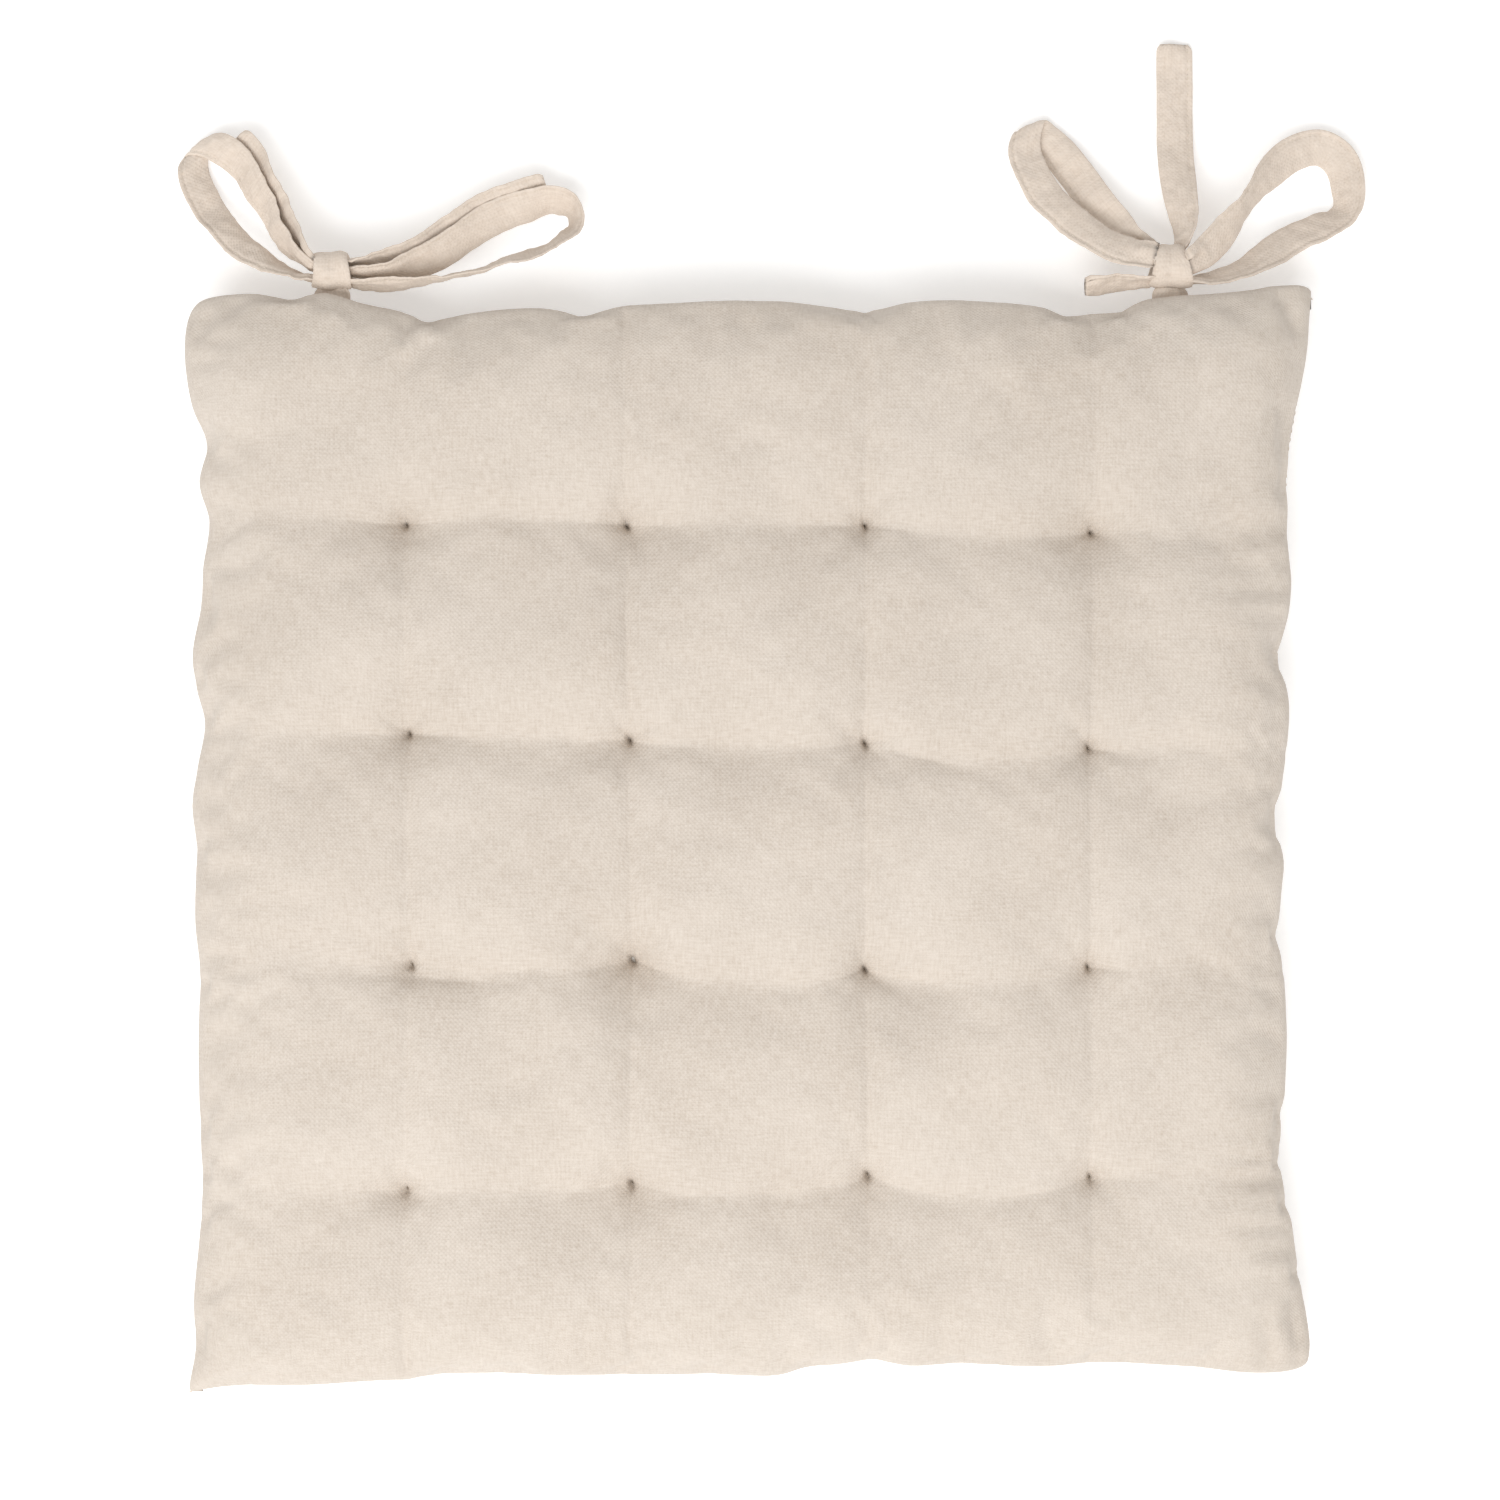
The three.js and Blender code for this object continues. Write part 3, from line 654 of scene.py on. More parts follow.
print("tufts at", np.round(tufts[:, :, 0].mean(axis=0) / MM), np.round(tufts[..., 1].mean(axis=1) / MM))

# %% [markdown]
# ## The pad's relief
# Each cover rises steeply from the seam and rolls over into a low crown. Tufts pull it
# down to narrow pits with a small slit in each. The cloth folds sharply from tuft to
# tuft along the rows, and less along the columns. The crease is steeper behind than in
# front, because each cell leans over the row before it. Small gathers run in from the
# seam, and folds fan out from each tuft.

# %% Relief of a cover
ROLL = 34 * MM  # how far in the cover's edge stops rising
ROLL_POWER = 2.3
TOP_RISE = 19.5 * MM
CROWN_RISE = 2.6 * MM  # how much higher the middle of the pad is
PIT_DEPTH = 6.5 * MM
PIT_REACH = 6.5 * MM
SLIT_DEPTH = 3.6 * MM  # the narrow hole that the thread pulls into the cloth
SLIT_TURN = np.radians(-68)
SLIT_HALF_LENGTH = 2.2 * MM
SLIT_HALF_WIDTH = 0.8 * MM
FAN_HEIGHT = 0.85 * MM
ROW_DEPTH = 7.6 * MM
ROW_REACH = 17 * MM
ROW_LEAN = (1.3, 0.85)  # the reach's share in front of a row and behind it
CREASE_FADE = 60 * MM  # how far in from the sides the creases reach their full depth
ROW_SOFTNESS = (0.3 * MM, 2.2 * MM)  # how blunt the crease is at a tuft and between tufts
COLUMN_DEPTH = 1.9 * MM
COLUMN_REACH = 8 * MM
WRINKLES = [
    (-110, -50, 44, -4, 1.5, 3.4), (-82, -47, 22, 8, 0.8, 2.6), (-128, -125, 16, -14, 1.3, 3.2),
    (-24, -127, 26, 8, 0.9, 3.0), (10, -127, 22, -10, 0.9, 3.0), (-120, 105, 14, -6, 0.8, 3.0),
    (96, -126, 20, 12, 0.8, 3.0), (128, 30, 20, -16, 0.8, 3.2), (62, 27, 26, -12, 0.8, 3.0),
]  # short folds of their own: x, y, length, angle, depth, width in millimetres and degrees


def edge_gathers(x, y, dl, dr, df, db):
    """Ripples across the seam: waves along each side that die out inwards, in patches."""
    out = np.zeros_like(x)
    for k, (d, along) in enumerate([(dl, y), (dr, y), (df, x), (db, x)]):
        patches = smooth(0.55 + 0.6 * waves(along, 0 * along, 90 * MM, 300 + k, 6))
        strength = (1.25, 1.0, 0.45, 0.55)[k] * MM
        ripple = waves(along, d * 0.25, 11 * MM, 310 + k, 10)
        fine = waves(along, d * 0.25, 6 * MM, 320 + k, 8)
        fade = np.exp(-d / (15 * MM)) * smooth(d / (3 * MM))
        out += strength * patches * (ripple + 0.35 * fine) * fade
    return out


def edge_roll(distances):
    """0 at the seam and 1 from ROLL inwards: the rounded edges of all four sides multiplied."""
    roll = 1.0
    for d in distances:
        roll = roll * np.sqrt(1 - (1 - np.clip(d / ROLL, 0, 1)) ** ROLL_POWER)
    return roll


def crease_depths(s, t, x, y, distances, seed):
    """Depth of all creases: an exponential away from each line, blunter between the tufts along
    the rows, deeper next to a tuft, and fading towards the pad's sides."""
    dl, dr, df, db = distances
    rows_y = between(lines_along(s[0]), np.arange(1.0, 5.0))
    columns_x = between(lines_across(t[:, 0]), np.arange(1.0, 5.0))
    from_columns = [x - columns_x[:, c][:, None] for c in range(COLUMNS)]
    apart = np.min(np.abs(from_columns), axis=0)
    blunt = ROW_SOFTNESS[0] + (ROW_SOFTNESS[1] - ROW_SOFTNESS[0]) * smooth(apart / (38 * MM))
    to_side = smooth(np.minimum(dl, dr) / CREASE_FADE) * 0.75 + 0.25
    to_end = smooth(np.minimum(df, db) / CREASE_FADE) * 0.8 + 0.2
    near_tuft = 1 + 0.35 * np.exp(-apart / (14 * MM))
    creases = np.zeros_like(x)
    for r in range(ROWS):
        off = y - rows_y[:, r][None, :]
        reach = ROW_REACH * np.where(off < 0, *ROW_LEAN)
        swell = 1 + 0.22 * waves(x, 0 * x + 2.0 * r, 45 * MM, seed + 2, 8)
        fold = np.exp(-(np.sqrt(off**2 + blunt**2) - blunt) / reach)
        creases += ROW_DEPTH * swell * near_tuft * fold * to_side
    for off in from_columns:
        creases += COLUMN_DEPTH * np.exp(-np.abs(off) / COLUMN_REACH) * to_end
    return creases


def tuft_marks(x, y):
    """The pits, the slits in them and the folds that fan out from them, each about one unit high."""
    pit, slit, fan = np.zeros_like(x), np.zeros_like(x), np.zeros_like(x)
    for r in range(ROWS):
        for c in range(COLUMNS):
            dx, dy = x - tufts[r, c, 0], y - tufts[r, c, 1]
            far = np.hypot(dx, dy)
            turn = np.arctan2(dy, dx)
            folds = np.cos(5 * turn + r * 1.7 + c * 2.3) + 0.6 * np.cos(8 * turn + r + 3 * c)
            pit += np.exp(-far / PIT_REACH)
            along = dx * np.cos(SLIT_TURN) + dy * np.sin(SLIT_TURN)
            off = dy * np.cos(SLIT_TURN) - dx * np.sin(SLIT_TURN)
            slit += np.exp(-((along / SLIT_HALF_LENGTH) ** 4) - (off / SLIT_HALF_WIDTH) ** 2)
            fan += folds * (far / PIT_REACH) * np.exp(-far / (0.8 * PIT_REACH))
    return np.minimum(pit, 1.0), slit, fan


def wrinkle_depths(x, y):
    """Depth of the short folds in WRINKLES: sharp across, and fading at both ends."""
    depths = np.zeros_like(x)
    for wx, wy, length, angle, depth, width in WRINKLES:
        a = np.radians(angle)
        px, py = x - wx * MM, y - wy * MM
        along, off = px * np.cos(a) + py * np.sin(a), py * np.cos(a) - px * np.sin(a)
        line = np.exp(-((along / (length * MM / 2)) ** 4)) * np.exp(-np.abs(off) / (width * MM))
        depths += depth * MM * line
    return depths


def relief(s, t, x, y, distances, seed, depth):
    """Height of the cover above the seam's plane, from the grid place, the plan place and the
    distances to the four sides: roll times crown, less creases and pits, plus folds and gathers."""
    roll = edge_roll(distances)
    crown = TOP_RISE + CROWN_RISE * (1 - (x / (195 * MM)) ** 2) * (1 - (y / (192 * MM)) ** 2)
    lump = 0.75 * MM * waves(x, y, 55 * MM, seed) + 0.16 * MM * waves(x, y, 14 * MM, seed + 1, 40)
    pit, slit, fan = tuft_marks(x, y)
    creases = crease_depths(s, t, x, y, distances, seed)
    height = (crown + lump) * roll
    height -= (creases + PIT_DEPTH * pit) * smooth(roll * 1.2) * depth
    height += (FAN_HEIGHT * fan - SLIT_DEPTH * slit) * depth
    height += edge_gathers(x, y, *distances) * smooth(roll * 1.6)
    return height - wrinkle_depths(x, y)


# %% Grid of a cover
def grid_shares(inner, outer):
    """Shares 0 to 5 over the cells, closer together near each line and closest at the seam."""
    k = np.arange(inner) / inner
    cell = k - 0.72 * np.sin(2 * np.pi * k) / (2 * np.pi)
    e = np.arange(outer) / outer
    edge = 0.5 * (e**2.2 + smooth(e) ** 1.4)
    last = 1 - edge[::-1]
    return np.concatenate([edge, 1 + cell, 2 + cell, 3 + cell, 4 + (last - last[0]), [5.0]])


# Each cover's seed, its edge (how far the seam is drawn in, how far the edge swells out, and how
# high the recess at the back reaches), and the share of the creases' and pits' full depth.
TOP = (41, (2.2 * MM, 1.0 * MM, 12 * MM), 1.0)
UNDER = (77, (1.2 * MM, 0.0, 34 * MM), 0.6)
OVERHANG_HEIGHT = 8 * MM  # how high the drawing in reaches
EDGE_FADE = 3 * MM
BACK_RECESS = 4.2 * MM  # how much further in the seam lies at the back, clear of the ties
CORNER_FADE = 7 * MM
CORNER_ROUNDING = {"front left": 0.9, "front right": 3.0, "back left": 2.4, "back right": 0.8}


def tucked(x, y, rise, distances, edge):
    """The plan places, with the corners rounded and the lowest part of the edge drawn in."""
    draw_in, swell_out, back_height = edge
    dl, dr, df, db = distances
    low, low_back = ((1 - np.clip(rise / h, 0, 1)) ** 2 for h in (OVERHANG_HEIGHT, back_height))
    inwards = draw_in * low - swell_out
    left, right, front, behind = (np.exp(-d / EDGE_FADE) for d in distances)
    x = x + inwards * (left - right)
    y = y + inwards * (front - behind) - BACK_RECESS * low_back * np.exp(-db / (2 * EDGE_FADE))
    for corner, rounding in CORNER_ROUNDING.items():
        from_front, from_left = "front" in corner, "left" in corner
        far = (df if from_front else db) + (dl if from_left else dr)
        cut = rounding * MM * np.exp(-far / CORNER_FADE)
        x = x + (cut if from_left else -cut)
        y = y + (cut if from_front else -cut)
    return x, y


def cover_grid(shares, seed, edge, depth):
    """Plan places and heights above the seam's plane of a cover, on the quilting grid."""
    t, s = np.meshgrid(shares, shares, indexing="ij")
    across, along = lines_across(shares), lines_along(shares)
    x, y = between(across, shares), between(along, shares).T
    dl, dr = x - across[:, :1], across[:, -1:] - x
    df, db = y - along[:, 0][None, :], along[:, -1][None, :] - y
    distances = (dl, dr, df, db)
    rise = relief(s, t, x, y, distances, seed, depth)
    x, y = tucked(x, y, rise, distances, edge)
    return x, y, rise


def flat_cloth(points):
    """Flat coordinates of the cloth: the plan place, and past the roll the way down to the seam too."""
    plan = points[..., :2].copy()
    edge_height = np.abs(points[..., 2] - SEAM_Z)
    sides_x, sides_y = (points[:, :1, 0], points[:, -1:, 0]), (points[:1, :, 1], points[-1:, :, 1])
    for axis, lines in enumerate((sides_x, sides_y)):
        for sign, line in zip((-1, 1), lines):
            near = 1 - smooth(np.abs(points[..., axis] - line) / ROLL)
            plan[..., axis] += sign * near * np.maximum(TOP_RISE - edge_height, 0)
    return plan


SEAM_SLIT = 0.3 * MM  # half of the seam's groove
FLAT_REACH = 4 * MM  # how softly the underside turns from its roll to the flat it lies on
UNDER_GAP = 0.4 * MM  # how far above the floor the underside stops
UNDER_FULLNESS = 1.12


def top_grid(shares):
    """The top cover's points, row by row from the front: shape (n, n, 3)."""
    x, y, rise = cover_grid(shares, *TOP)
    return np.stack([x, y, SEAM_Z + SEAM_SLIT + rise], axis=-1)


def under_grid(shares):
    """The bottom cover's points: its own relief downwards, pressed flat where it lies."""
    x, y, drop = cover_grid(shares, *UNDER)
    drop = UNDER_FULLNESS * drop
    deepest = SEAM_Z - UNDER_GAP
    pressed = deepest - FLAT_REACH * np.log1p(np.exp((deepest - drop) / FLAT_REACH))
    edge = smooth(drop / (3 * MM))
    pressed = np.maximum(pressed, 0) * edge + drop * (1 - edge)
    return np.stack([x, y, SEAM_Z - SEAM_SLIT - pressed], axis=-1)


# %% [markdown]
# ## Letting the covers settle
# A sewn cover is never as even as a formula. Its cloth is a little longer than the
# seam that holds it, so it puckers along the edges and pulls small folds between the
# tufts. Blender's cloth solver makes those: both covers, on a coarser grid, are held
# at the seam and along the rows, grow by a few per cent and are blown up for a
# moment. Only the fine part of the movement is kept, so the outline stays.

# %% Cloth simulation
COARSE = np.linspace(0, CELLS, CELLS * 24 + 1)  # even shares, about 3.3 mm apart
CLOTH_PRESSURE = 4.0
CLOTH_GROWTH = 0.03
SETTLING_FRAMES = 20
GREATEST_MOVE = (1.0 * MM, 2.4 * MM)  # in the middle of the pad, and next to its seam
KEPT_SHARE = (0.22, 0.9)  # how much of the fine movement is kept, in the same two places
GATHER_DEPTH = 32 * MM  # how far in from the seam the gathers reach
BROAD_REACH = 6  # grid steps over which a movement counts as broad and is left out


def held_points(shares):
    """True for the grid points on the seam and on the rows of tufts."""
    lines = np.isin(shares, np.arange(CELLS + 1.0))
    held = np.zeros((len(shares), len(shares)), bool)
    held[lines] = True
    held[:, [0, -1]] = True
    return held


def settle(grids, held):
    """How far the cloth solver moves each point of both covers, held at the given points."""
    count = grids[0][..., 0].size
    faces = quads(*held.shape)
    mesh = bpy.data.meshes.new("settling_covers")
    points = np.vstack([grid.reshape(-1, 3) for grid in grids])
    mesh.from_pydata(points.tolist(), [], np.vstack([faces, faces[:, ::-1] + count]).tolist())
    piece = bpy.data.objects.new("settling_covers", mesh)
    scene.collection.objects.link(piece)
    pins = piece.vertex_groups.new(name="held")
    pins.add(np.flatnonzero(np.tile(held.ravel(), 2)).tolist(), 1.0, "REPLACE")
    cloth = piece.modifiers.new("settling", "CLOTH")
    cloth.settings.vertex_group_mass = "held"
    cloth.settings.quality = 6
    cloth.settings.mass = 0.2
    cloth.settings.bending_stiffness = 0.05
    cloth.settings.use_pressure = True
    cloth.settings.uniform_pressure_force = CLOTH_PRESSURE
    cloth.settings.shrink_min = -CLOTH_GROWTH
    cloth.settings.effector_weights.gravity = 0.0
    cloth.point_cache.frame_end = SETTLING_FRAMES
    for step in range(1, SETTLING_FRAMES + 1):
        scene.frame_set(step)
    done = piece.evaluated_get(bpy.context.evaluated_depsgraph_get()).data
    moved = np.empty(len(points) * 3, np.float32)
    done.vertices.foreach_get("co", moved)
    scene.frame_set(1)
    bpy.data.objects.remove(piece)
    move = (moved.reshape(-1, 3) - points).reshape(2, *held.shape, 3)
    return move


def blurred(grid, reach):
    """The grid's values averaged over their neighbours, nearer ones more, first down and then across."""
    kernel = np.hanning(2 * reach + 3)[1:-1]
    for axis in (0, 1):
        border = [(reach, reach) if k == axis else (0, 0) for k in range(3)]
        wide = np.pad(grid, border, mode="edge")
        grid = np.apply_along_axis(np.convolve, axis, wide, kernel / kernel.sum(), "valid")
    return grid


def refined(grid, coarse, fine):
    """The grid's values at finer shares: a Catmull-Rom curve through four points, along both axes."""
    place = np.interp(fine, coarse, np.arange(len(coarse)))
    k = np.minimum(place.astype(int), len(coarse) - 2)
    f = (place - k)[:, None, None]
    mix = (-f + 2 * f**2 - f**3, 2 - 5 * f**2 + 3 * f**3, f + 4 * f**2 - 3 * f**3, f**3 - f**2)
    for _ in range(2):
        wide = np.pad(grid, ((1, 1), (0, 0), (0, 0)), mode="edge")
        grid = sum(wide[k + i] * mix[i] / 2 for i in range(4)).transpose(1, 0, 2)
    return grid


def from_seam(points):
    """1 at the seam and 0 from GATHER_DEPTH inwards, for a cover's grid of points."""
    inwards = [np.abs(points[..., 0] - points[:, k, 0][:, None]) for k in (0, -1)]
    inwards += [np.abs(points[..., 1] - points[k, :, 1][None, :]) for k in (0, -1)]
    return 1 - smooth(np.min(inwards, axis=0) / GATHER_DEPTH)


def fine_part(move, points, held):
    """The narrow folds of a movement, limited, and strongest near the seam."""
    near = from_seam(points)[..., None]
    fine = (move - blurred(move, BROAD_REACH)) * (KEPT_SHARE[0] * (1 - near) + KEPT_SHARE[1] * near)
    fine[held] = 0
    length = np.linalg.norm(fine, axis=-1, keepdims=True)
    most = GREATEST_MOVE[0] * (1 - near) + GREATEST_MOVE[1] * near
    print("settled by", np.round(np.percentile(length, (50, 90, 99)) / MM, 2).tolist(), "mm")
    return fine * most / np.maximum(length, most)


TOP_SHARES, UNDER_SHARES = grid_shares(44, 50), grid_shares(30, 36)
top_points, under_points = top_grid(TOP_SHARES), under_grid(UNDER_SHARES)
held = held_points(COARSE)
coarse_grids = top_grid(COARSE), under_grid(COARSE)
moves = settle(coarse_grids, held)
folds = [fine_part(move, grid, held) for move, grid in zip(moves, coarse_grids)]
top_points = top_points + refined(folds[0], COARSE, TOP_SHARES)
under_points = under_points + refined(folds[1], COARSE, UNDER_SHARES)
under_points[..., 2] = np.maximum(under_points[..., 2], 0)
x, y = top_points[..., 0], top_points[..., 1]
print("top from", round(top_points[..., 2].min() / MM, 1), "to", round(top_points[..., 2].max() / MM, 1))
print("under from", round(under_points[..., 2].min() / MM, 1), "mm")

# %% Covers
CLOTH_THICKNESS = 0.5 * MM
SEAM_ALLOWANCE = 4 * MM  # how far the cloth's edge is turned in behind the seam


def make_cover(name, points, upwards):
    """One cover: its grid, with a border turned in at the seam, given the cloth's thickness inwards."""
    turned = np.pad(points, ((1, 1), (1, 1), (0, 0)), mode="edge")
    turned[:, 0, 0] += SEAM_ALLOWANCE
    turned[:, -1, 0] -= SEAM_ALLOWANCE
    turned[0, :, 1] += SEAM_ALLOWANCE
    turned[-1, :, 1] -= SEAM_ALLOWANCE
    faces = quads(*turned.shape[:2])
    faces = faces if upwards else faces[:, ::-1]
    flat = flat_cloth(turned).reshape(-1, 2)
    piece = make_piece(name, turned.reshape(-1, 3), flat, faces, cover_cloth, merge=False)
    wall = piece.modifiers.new("cloth thickness", "SOLIDIFY")
    wall.thickness = CLOTH_THICKNESS
    wall.offset = -1
    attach(piece, "pad")
    return piece


top_cover = make_cover("top_cover_cloth", top_points, True)
under_cover = make_cover("bottom_cover_cloth", under_points, False)
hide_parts("top_cover")
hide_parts("bottom_cover")
print(len(top_cover.data.polygons), "faces in each cover")

# %% [markdown]
# ## Filling
# Loose polyester fibre fills the covers. Nobody sees it, but the part is whole only
# with it: a closed cushion a little inside both covers, on a coarser grid of the same
# two reliefs.


# %% Filling
FILLING_GAP = 3.2 * MM
SQUEEZED_DEPTH = 5 * MM  # how far under the seam's plane a tuft squeezes the filling
SQUEEZED_REACH = 15 * MM
TUFT_CLEARANCE = 16 * MM  # how much further down the filling is under a tuft


def make_filling():
    """Both reliefs less the gap, joined at the seam's plane: the upper grid, then the lower one."""
    halves = []
    for cover, sign, fullness in ((TOP, 1, 1.0), (UNDER, -1, UNDER_FULLNESS)):
        fx, fy, fz = cover_grid(grid_shares(16, 20), *cover)
        fz, squeezed = fullness * fz - FILLING_GAP, np.zeros_like(fx)
        for place in tufts.reshape(-1, 2):
            far = np.hypot(fx - place[0], fy - place[1])
            fz = fz - TUFT_CLEARANCE * np.exp(-far / (1.5 * PIT_REACH))
            squeezed = np.maximum(squeezed, SQUEEZED_DEPTH * np.exp(-((far / SQUEEZED_REACH) ** 2)))
        fz = np.maximum(fz, -squeezed if sign > 0 else squeezed * 1.1)
        if sign < 0:
            fz = np.minimum(fz, SEAM_Z - FILLING_GAP)
        inwards = 1 - 1.3 * FILLING_GAP / (190 * MM)
        fz[0], fz[-1], fz[:, 0], fz[:, -1] = 0, 0, 0, 0
        halves.append(np.stack([fx * inwards, fy * inwards, SEAM_Z + sign * fz], axis=-1))
    faces = quads(*halves[0].shape[:2])
    points = np.vstack([h.reshape(-1, 3) for h in halves])
    flat = points[:, :2]
    faces = np.vstack([faces, faces[:, ::-1] + halves[0].shape[0] * halves[0].shape[1]])
    return make_piece("fibre_filling", points, flat, faces, fibre)


filling = make_filling()
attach(filling, "pad")
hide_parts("filling")
print("filling", len(filling.data.polygons), "faces")

# %% [markdown]
# ## Knots and the sewn-in roots
# A bow's knot is the same ribbon, wrapped once round the two loops and pulled tight.
# Seen from above it is narrower at its back than in front, with soft folds along the
# wrap. A short flat end of ribbon leads from each knot into the pad's seam.

# %% Knots
KNOT_WRAPS = {
    "left_knot": ((-0.1487, 0.2006), (6.7, 6.3), (6.9, 5.6), 21),
    "right_knot": ((0.1487, 0.2022), (7.7, 6.4), (7.6, 5.0), 22),
}  # place, reach along Y and Z, half width in front and at the back, seed


def make_knot(name, place, reach, widths, seed):
    """A closed band round the X axis: angle and place across give a radius with folds; its two
    edges turn in to the middle."""
    angle = np.linspace(0, 2 * np.pi, 73)[None, :]
    share = np.concatenate([[-0.86, -1.0, -1.03], np.linspace(-1, 1, 25), [1.03, 1.0, 0.86]])
    size = np.concatenate([[0, 0.6, 0.84], 0.93 + 0.1 * np.cos(np.linspace(-1, 1, 25) * 1.4), [0.84, 0.6, 0]])
    share, size = share[:, None], size[:, None]
    back = 0.5 + 0.5 * np.sin(angle)
    half_width = (widths[0] * (1 - back) + widths[1] * back) * MM
    fold = 0.3 * np.cos(4.5 * share + 0.9 * np.sin(angle) + seed)
    fold = fold + 0.22 * waves(share * 7, angle * 2, 9, seed, 12)
    radius = size * (1 + 0 * angle) * MM
    x = place[0] + share * half_width + 0.35 * MM * np.sin(2 * angle + seed) * np.abs(share)
    y = place[1] + np.sin(angle) * (radius * reach[0] + fold * size * MM)
    z = SEAM_Z + np.cos(angle) * (radius * reach[1] + fold * size * MM)
    grid = np.stack(np.broadcast_arrays(x, y, z), axis=-1)
    grid[:, -1] = grid[:, 0]
    flat = np.stack(np.broadcast_arrays(share * 6.5 * MM, angle * 6.5 * MM), axis=-1)
    faces = quads(*grid.shape[:2])[:, ::-1]
    return make_piece(name, grid.reshape(-1, 3), flat.reshape(-1, 2), faces, ribbon_cloth)


for name, (place, reach, widths, seed) in KNOT_WRAPS.items():
    knot = make_knot(name + "_wrap", place, reach, widths, seed)
    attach(knot, name.replace("knot", "tie"))
    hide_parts(name)
    print(name, len(knot.data.polygons), "faces")

# %% Sewn-in ribbon ends
ROOT_Y = (180 * MM, 188 * MM, 194.5 * MM)
for name, x_place, seed in (("left_tie_root", -0.1487, 31), ("right_tie_root", 0.1487, 32)):
    root_strip = Strip([(x_place, y_place, SEAM_Z - RIBBON_THICKNESS / 2, 0, 0) for y_place in ROOT_Y])
    root = make_ribbon(name + "_ribbon", root_strip, 1, "", seed)
    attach(root, "pad")
    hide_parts(name)

# %% [markdown]
# ## Threads
# The seam shows its thread as a row of small stitches in the groove between the
# covers. A part of the back seam was left open for stuffing and is closed by hand, with
# slanting stitches. Each tuft is one short stitch of stout twine on top, and a knot
# with two cut ends underneath.

# %% Seam stitches
SEAM_PITCH = 3.2 * MM
SEAM_THREAD = 0.32 * MM  # drawn a little thicker than the real 0.2 mm


def outline_loop():
    """The seam's line once round, anticlockwise from the front left corner: places and distances."""
    edge = [(x[0], y[0]), (x[:, -1], y[:, -1]), (x[-1, ::-1], y[-1, ::-1]), (x[::-1, 0], y[::-1, 0])]
    loop = np.vstack([np.stack(side_line, axis=1)[:-1] for side_line in edge])
    loop = np.vstack([loop, loop[:1]])
    far = np.concatenate([[0], np.cumsum(np.linalg.norm(np.diff(loop, axis=0), axis=1))])
    return loop, far


def on_seam(place):
    """Points of the seam and the directions along and out of it, at distances along its line."""
    loop, far = outline_loop()
    at, ahead = (
        np.stack([np.interp((place + d) % far[-1], far, loop[:, i]) for i in range(2)], axis=1)
        for d in (0, 0.8 * MM)
    )
    point = np.column_stack([at, np.full(len(place), SEAM_Z)])
    along = unit(np.column_stack([ahead - at, np.zeros(len(place))]))
    return point, along, np.stack([along[:, 1], -along[:, 0], 0 * along[:, 0]], axis=1)


seam_length = outline_loop()[1][-1]
point, along, out = on_seam(np.arange(0, seam_length - SEAM_PITCH / 2, SEAM_PITCH))
up = np.broadcast_to([0.0, 0.0, 1.0], point.shape)
seam = make_stitches(
    "edge_seam_stitches", point, along, up, out, SEAM_PITCH * 0.78, SEAM_THREAD, sewing_thread
)
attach(seam, "pad")
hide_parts("edge_seam_thread")
print("seam", round(seam_length, 3), "m,", len(point), "stitches")

# %% Closing stitches
CLOSING_PITCH = 4.5 * MM
closing_x = np.array(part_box("closing_stitch_thread"))[:, 0]
loop, far = outline_loop()
behind = loop[:, 1] > 0.17
middle_place = np.interp(0, -loop[behind, 0], far[behind])
half = (closing_x[1] - closing_x[0]) / 2
point, along, out = on_seam(np.arange(middle_place - half, middle_place + half, CLOSING_PITCH))
up = np.broadcast_to([0.0, 0.0, 1.0], point.shape)
slant = unit(along + 0.75 * up)
closing = make_stitches(
    "closing_slip_stitches",
    point + 0.35 * MM * out,
    slant,
    unit(np.cross(out, slant)),
    out,
    CLOSING_PITCH * 0.9,
    0.4 * MM,
    sewing_thread,
)
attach(closing, "pad")
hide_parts("closing_stitch_thread")
print("closing stitches", len(point))

# %% Tufts
TWINE_RADIUS = 0.36 * MM
PLY_TURNS = 900  # turns of the two plies in a metre of twine


def twine(path, radius, sides=10):
    """Two-ply twine along a path (n, 3): a round whose radius swells twice a turn, as two plies do."""
    along = unit(np.gradient(path, axis=0))
    aside = unit(np.cross(along, np.array([0.13, 0.31, 0.94])))
    normal = np.cross(aside, along)
    far = np.concatenate([[0], np.cumsum(np.linalg.norm(np.diff(path, axis=0), axis=1))])
    angle = np.linspace(0, 2 * np.pi, sides + 1)[None, :]
    ply = 0.78 + 0.26 * np.abs(np.cos(angle - 2 * np.pi * PLY_TURNS * far[:, None]))
    ends = np.sqrt(np.maximum(1 - np.linspace(-1, 1, len(path)) ** 16, 0))[:, None]
    r = (radius * ply * ends)[..., None]
    grid = path[:, None] + r * (
        aside[:, None] * np.cos(angle)[..., None] + normal[:, None] * np.sin(angle)[..., None]
    )
    flat = np.stack(np.broadcast_arrays(far[:, None], angle * radius), axis=-1)
    return grid.reshape(-1, 3), flat.reshape(-1, 2), quads(*grid.shape[:2])


def height_at(points, px, py):
    """Height of a cover's grid at the grid point nearest to a place."""
    flat_points = points.reshape(-1, 3)
    return flat_points[np.argmin(np.hypot(flat_points[:, 0] - px, flat_points[:, 1] - py)), 2]


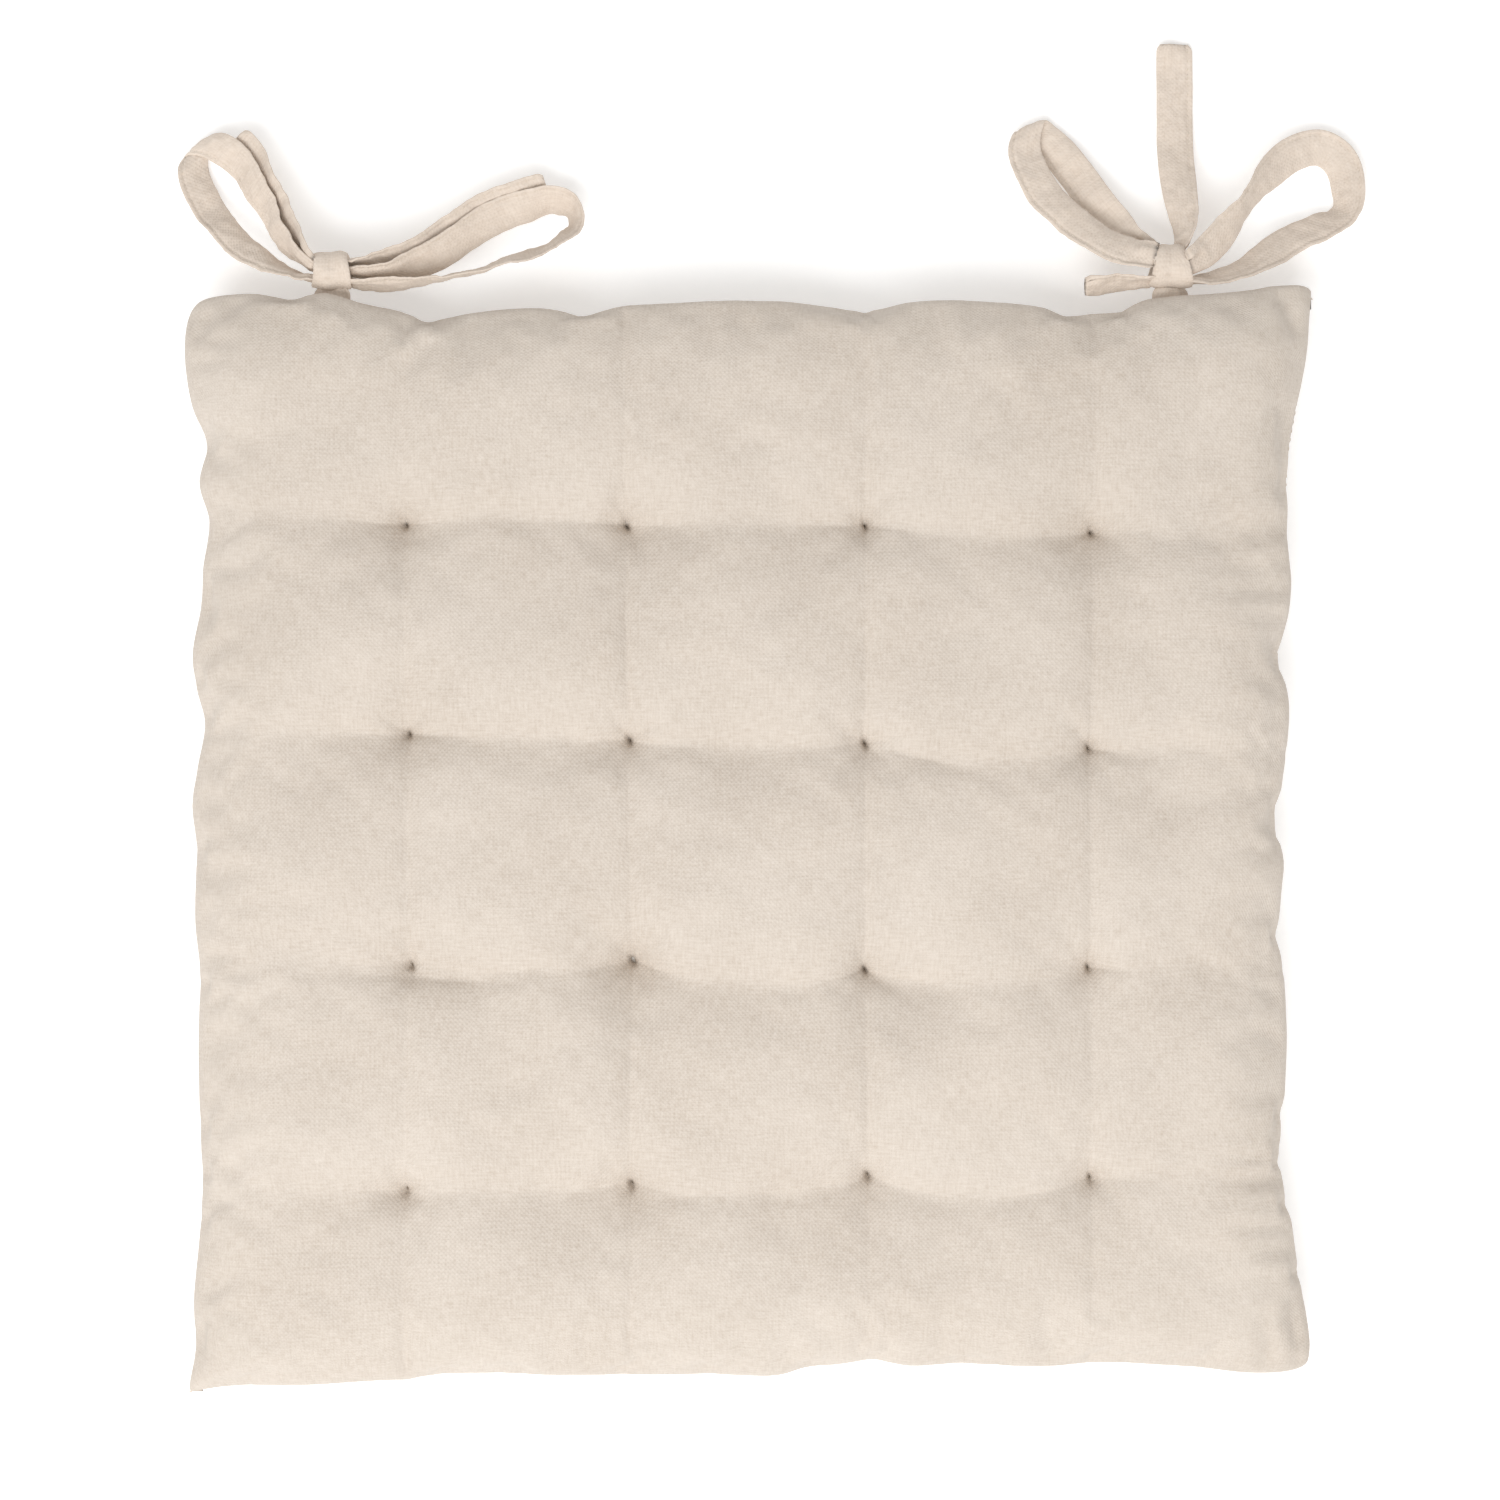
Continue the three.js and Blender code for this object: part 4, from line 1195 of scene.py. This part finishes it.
def tuft_paths(px, py, seed):
    """The stitch on top, the shank through the filling, and the knot's loop and two ends below."""
    draw = np.random.default_rng(seed)
    turn = SLIT_TURN + np.radians(draw.uniform(-10, 10))
    q = np.linspace(-1, 1, 25)[:, None]
    reach = 1.7 * MM
    heading = np.array([np.cos(turn), np.sin(turn), 0.0])
    top = np.array([px, py, height_at(top_points, px, py) + 0.7 * MM])
    stitch = top + heading * reach * np.sin(q * np.pi / 2) - [0, 0, 1.6 * MM] * np.abs(q) ** 5
    low = np.array([px, py, height_at(under_points, px, py) - 0.2 * MM])
    shank = np.linspace(low, top - [0, 0, 1.6 * MM], 12)
    a = np.linspace(0, 2.6 * np.pi, 40)[:, None]
    knot = low + 1.0 * MM * np.hstack([np.cos(a), np.sin(a), 0 * a]) - [0, 0, 0.5 * MM] * np.cos(a / 2)
    ends = []
    for k in range(2):
        out = turn + np.pi * k + draw.uniform(-0.6, 0.6)
        run = np.linspace(0, 1, 20)[:, None]
        end = low + run * 6.5 * MM * np.array([np.cos(out), np.sin(out), 0.0])
        end[:, 2:] += (1.6 * run * (run - 1.1)) * MM * 1.2
        ends.append(end)
    return [stitch, shank, knot, *ends]


for r in range(ROWS):
    for c in range(COLUMNS):
        parts, start = [], 0
        for path in tuft_paths(*tufts[r, c], 500 + 10 * r + c):
            points, flat, faces = twine(path, TWINE_RADIUS)
            parts.append((points, flat, faces + start))
            start += len(points)
        place = f"row{r + 1}_column{c + 1}"
        tuft = make_piece(f"tuft_twine_{place}", *map(np.vstack, zip(*parts)), tufting_twine)
        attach(tuft, "pad")
        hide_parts(f"tuft_thread_{place}")
print("tufts", ROWS * COLUMNS, "of", len(tuft.data.polygons), "faces")

# %% [markdown]
# ## Floor and light
# The object lies on a plain white sheet with a faint light under it, as on a light
# table. One large soft light stands in front of the pad, so the near side of every
# crease is a little darker than its far side, and an even white surround fills all
# shadows.

# %% Floor and light
FLOOR_HALF = 3.0
floor_mesh = bpy.data.meshes.new("floor")
corners = [(-FLOOR_HALF, -FLOOR_HALF, 0), (FLOOR_HALF, -FLOOR_HALF, 0)]
corners += [(FLOOR_HALF, FLOOR_HALF, 0), (-FLOOR_HALF, FLOOR_HALF, 0)]
floor_mesh.from_pydata(corners, [], [(0, 1, 2, 3)])
floor = bpy.data.objects.new("floor", floor_mesh)
scene.collection.objects.link(floor)
floor.location.z = -0.5 * MM  # just under the lowest wrinkle
GLOW = 0.22  # light that comes through the sheet from below
paper = bpy.data.materials.new("backlit_white_paper_sheet")
paper.use_nodes = True
paper.node_tree.nodes["Principled BSDF"].inputs["Base Color"].default_value = linear("#FBFCFD")
paper.node_tree.nodes["Principled BSDF"].inputs["Roughness"].default_value = 0.9
paper.node_tree.nodes["Principled BSDF"].inputs["Specular IOR Level"].default_value = 0.1
paper.node_tree.nodes["Principled BSDF"].inputs["Emission Color"].default_value = (1, 1, 1, 1)
paper.node_tree.nodes["Principled BSDF"].inputs["Emission Strength"].default_value = GLOW
floor_mesh.materials.append(paper)

world = bpy.data.worlds.new("white_surround")
world.use_nodes = True
world.node_tree.nodes["Background"].inputs["Color"].default_value = (1.0, 0.982, 0.96, 1)
world.node_tree.nodes["Background"].inputs["Strength"].default_value = 0.66
scene.world = world

key_data = bpy.data.lights.new("soft_front_light", "AREA")
key_data.shape = "RECTANGLE"
key_data.size = 1.5
key_data.size_y = 1.0
key_data.energy = 24
key = bpy.data.objects.new("soft_front_light", key_data)
scene.collection.objects.link(key)
key.location = (-0.3, -0.8, 1.55)
direction = -key.location.normalized()
key.rotation_euler = direction.to_track_quat("-Z", "Y").to_euler()
